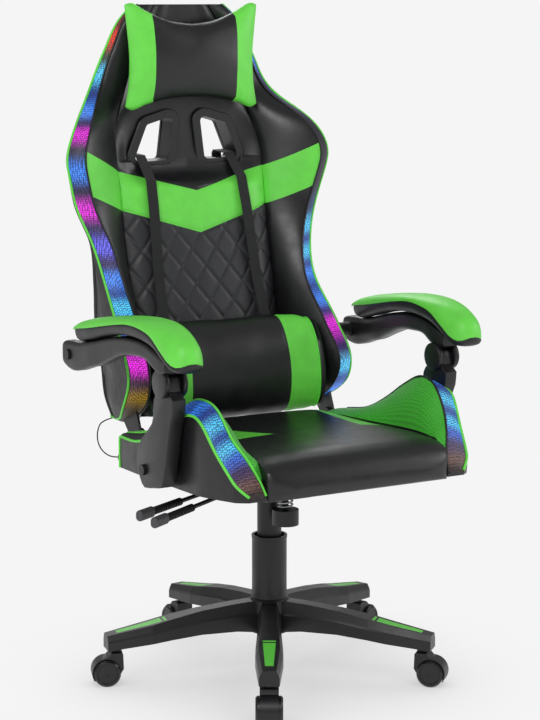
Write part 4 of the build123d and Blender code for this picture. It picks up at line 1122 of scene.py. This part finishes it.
def round_section(centre, half, low, high, square, count=28):
    """A rounded oblong: a superellipse, whose power says how square it is."""
    middle, tall = (low + high) / 2, (high - low) / 2
    ring = []
    for k in range(count):
        angle = 2 * pi * (k + 0.5) / count
        c, s = cos(angle), sin(angle)
        ring.append(
            (
                centre + half * np.sign(c) * abs(c) ** (2 / square),
                middle + tall * np.sign(s) * abs(s) ** (2 / square),
            )
        )
    return ring


beam_places = [222, 221, 219, 216, 212] + list(np.arange(206, -174, -6.0)) + [-176]
pad_tip = [-231, -235, -239, -242, -244, -245]
pad_places = [177, 175, 172, 168] + list(np.arange(162, -228, -6.0)) + pad_tip
base_places = [p for p in pad_places if p < 158]
POST_OUTLINE = [
    (-184, 577), (-183, 566), (-181, 552), (-171, 532), (-164, 501), (-157, 471), (-150, 443),
    (-143, 424), (-137, 414), (-122, 410), (-105, 407), (-85, 403), (-69, 401), (-59, 406),
    (-50, 417), (-43, 431), (-39.5, 448), (-43, 466), (-55, 486), (-81, 507), (-100, 524),
    (-105, 536), (-106, 550), (-109, 568), (-116, 579), (-125, 583), (-133, 590), (-133, 603),
    (-136, 612), (-143, 618.5), (-150, 620), (-157, 618.5), (-164, 612), (-167, 603),
    (-167, 590), (-173, 584),
]
POST_IN, POST_WIDE = 272, 26
KNUCKLE_Y, KNUCKLE_Z = -150, 603
for side, flip in SIDES:
    loops = []
    for y, (inner, outer, low, high) in zip(beam_places, eased(BEAM_ROWS, beam_places)):
        ring = round_section((inner + outer) / 2, (outer - inner) / 2, low, high, 4.5)
        rib = []
        for x, z in ring:
            up = (z - low) / (high - low)
            groove = 1.3 * np.exp(-(((up - 0.62) / 0.07) ** 2)) * np.clip((200 - y) / 60, 0, 1)
            rib.append((x - np.sign(x - (inner + outer) / 2) * groove, y, z))
        loops.append(rib)
    bm = skin(loops, flip)
    # the beam's two round ears beside the post's knuckle
    for ear_in, ear_out in ((263.0, 271.2), (298.8, 309.0)):
        made = bmesh.ops.create_cone(
            bm, cap_ends=True, segments=56, radius1=26, radius2=26, depth=ear_out - ear_in
        )
        ear = set(made["verts"])
        rims = [e for e in bm.edges if set(e.verts) <= ear and e.calc_face_angle(0) > 1]
        rounded = bmesh.ops.bevel(
            bm, geom=rims, offset=2.2, segments=3, affect="EDGES", profile=0.5, material=-1
        )["verts"]
        moved = list({v for v in made["verts"] if v.is_valid} | set(rounded))
        middle = (flip * (ear_in + ear_out) / 2, KNUCKLE_Y, KNUCKLE_Z)
        bmesh.ops.rotate(bm, verts=moved, matrix=Matrix.Rotation(pi / 2, 3, "Y"))
        bmesh.ops.translate(bm, verts=moved, vec=middle)
    beam = finish_piece(f"arm_skin_{side}", bm, [nylon], smooth=50)
    place_piece(beam, f"arm_{side}", f"arm_beam_{side}", slot="black_nylon")

    loops = []
    for y, (centre, half, low, seam, high) in zip(base_places, eased(PAD_ROWS, base_places)):
        ring = []
        for x, z in round_section(centre, half, low, 2 * seam - low, 2.6, 36):
            if z <= seam:
                up = (z - low) / max(seam - low, 1)
                bead = 1.2 * np.exp(-(((up - 0.2) / 0.08) ** 2))
                ring.append((x + np.sign(x - centre) * bead, y, z))
            else:
                ring.append((centre + (x - centre) * 0.96, y, seam - 0.4))
        loops.append(ring)
    base_skin = finish_piece(f"arm_pad_shell_{side}", skin(loops, flip), [bezel_plastic], smooth=50)
    place_piece(base_skin, f"arm_{side}", f"arm_pad_base_{side}", slot="black_plastic")

    loops = []
    for y, (centre, half, low, seam, high) in zip(pad_places, eased(PAD_ROWS, pad_places)):
        ring = []
        for x, z in round_section(centre, half - 0.6, 2 * seam - high, high, 2.5, 36):
            ring.append((x, y, max(z, seam + 0.3)))
        loops.append(ring)
    top_skin = finish_piece(f"arm_cushion_{side}", skin(loops, flip), [green_leather], smooth=50)
    place_piece(top_skin, f"arm_{side}", f"arm_pad_top_{side}", slot="green_foam")

    bm = bmesh.new()
    outline = [bm.verts.new((flip * POST_IN, y, z)) for y, z in POST_OUTLINE]
    push(bm, bm.faces.new(outline), (flip * POST_WIDE, 0, 0))
    bmesh.ops.recalc_face_normals(bm, faces=bm.faces)
    rims = [e for e in bm.edges if abs(e.verts[0].co.x - e.verts[1].co.x) < 0.01]
    bmesh.ops.bevel(bm, geom=rims, offset=2.6, segments=3, affect="EDGES", profile=0.5, material=-1)
    made = bmesh.ops.create_cone(bm, cap_ends=True, segments=32, radius1=5, radius2=5, depth=42)
    bmesh.ops.rotate(bm, verts=made["verts"], matrix=Matrix.Rotation(pi / 2, 3, "Y"))
    pin = (flip * 286, KNUCKLE_Y, KNUCKLE_Z)
    bmesh.ops.translate(bm, verts=made["verts"], vec=pin)
    post = finish_piece(f"arm_post_skin_{side}", bm, [nylon], smooth=40)
    place_piece(post, f"post_{side}", f"arm_post_{side}", slot="black_nylon")
print("armrests made")

# %% [markdown]
# ## Finishes for the CAD parts
# Everything still showing from the CAD gets one of the finishes above.

# %% CAD materials
FINISHES = {
    "base": nylon,
    "leg_inserts": green_plastic,
    "column_cover": hood_plastic,
    "standing_tube": coated_steel,
    "column_bearings": bearing_plastic,
    "gas_rod": bright_steel,
    "pressure_cylinder": bright_steel,
    "mechanism_housing": coated_steel,
    "tension_spring": bright_steel,
    "tension_knob": hood_plastic,
    "seat_plate": coated_steel,
    "seat_pan": coated_steel,
    "hinge_plates": coated_steel,
    "hinge_pins": bright_steel,
    "hinge_arms": coated_steel,
    "back_frame": coated_steel,
    "harness_bezels": bezel_plastic,
    "pillow_straps": strap_cloth,
    "arm_brackets": coated_steel,
    "tail_bolts": coated_steel,
    "post_mounts": coated_steel,
    "cable_plug": cable_skin,
}
for lever in ("lift", "tilt"):
    FINISHES[f"{lever}_lever_rod"] = coated_steel
    FINISHES[f"{lever}_lever_sleeve"] = sleeve_rubber
    FINISHES[f"{lever}_lever_grip"] = grip_plastic
for number in range(1, 6):
    FINISHES[f"castor_{number}_housing"] = hood_plastic
    FINISHES[f"castor_{number}_wheels"] = tread_nylon
for name, material in FINISHES.items():
    if not nodes[name].material_slots:
        nodes[name].data.materials.append(material)
    for slot in nodes[name].material_slots:
        slot.material = material
print("finishes on", len(FINISHES), "nodes")

# %% [markdown]
# ## Floor and light
# The ground is paper that glows as if lit from below, one even pale grey, with a painted contact
# shadow: ambient occlusion darkens its glow near what stands on it. The camera sees the same grey
# all round, while the chair itself is lit by a dimmer surround and three soft lights, so black
# leather stays black and shows long highlights.

# %% Stage
bm = bmesh.new()
bmesh.ops.create_grid(bm, x_segments=2, y_segments=2, size=500.0)
floor_mesh = bpy.data.meshes.new("floor")
bm.to_mesh(floor_mesh)
bm.free()
floor = bpy.data.objects.new("floor", floor_mesh)
bpy.context.scene.collection.objects.link(floor)
PAPER = "#F5F5F5"
paper, tree, _ = new_material("glowing_paper_painted_shadow")
# painted shadow: ambient occlusion dims the paper's glow near the chair, a contact shadow not cast
# by the lamps
near = add_node(tree, "ShaderNodeAmbientOcclusion", {"Distance": 0.45}, samples=16)
bright = add_node(
    tree, "ShaderNodeMapRange", {"Value": near.outputs["AO"], "To Min": 0.5, "To Max": 1.0}
)
finish_material(
    tree,
    add_node(
        tree,
        "ShaderNodeEmission",
        {"Color": linear(PAPER), "Strength": bright.outputs["Result"]},
    ),
)
floor_mesh.materials.append(paper)

world = bpy.data.worlds.new("studio")
world.use_nodes = True
tree = world.node_tree
tree.nodes.clear()
seen = add_node(tree, "ShaderNodeLightPath").outputs["Is Camera Ray"]
power = add_node(tree, "ShaderNodeMapRange", {"Value": seen, "To Min": 0.38, "To Max": 1.0})
sky = add_node(
    tree,
    "ShaderNodeBackground",
    {"Color": linear(PAPER), "Strength": power.outputs["Result"]},
)
add_node(tree, "ShaderNodeOutputWorld", {"Surface": sky.outputs[0]})
bpy.context.scene.world = world


def soft_light(name, place, size, power):
    """A square soft light that points at the chair's middle."""
    lamp = bpy.data.lights.new(name, "AREA")
    lamp.shape = "SQUARE"
    lamp.size = size
    lamp.energy = power
    light = bpy.data.objects.new(name, lamp)
    light.location = place
    light.rotation_euler = (Vector((0, 0, 0.6)) - Vector(place)).to_track_quat("-Z", "Y").to_euler()
    bpy.context.scene.collection.objects.link(light)


soft_light("key", (-2.6, -2.2, 3.0), 1.8, 75)
soft_light("side", (2.8, -1.6, 1.8), 1.6, 32)
soft_light("rim", (1.0, 2.6, 2.6), 1.6, 40)
bpy.context.scene.view_settings.view_transform = "Standard"
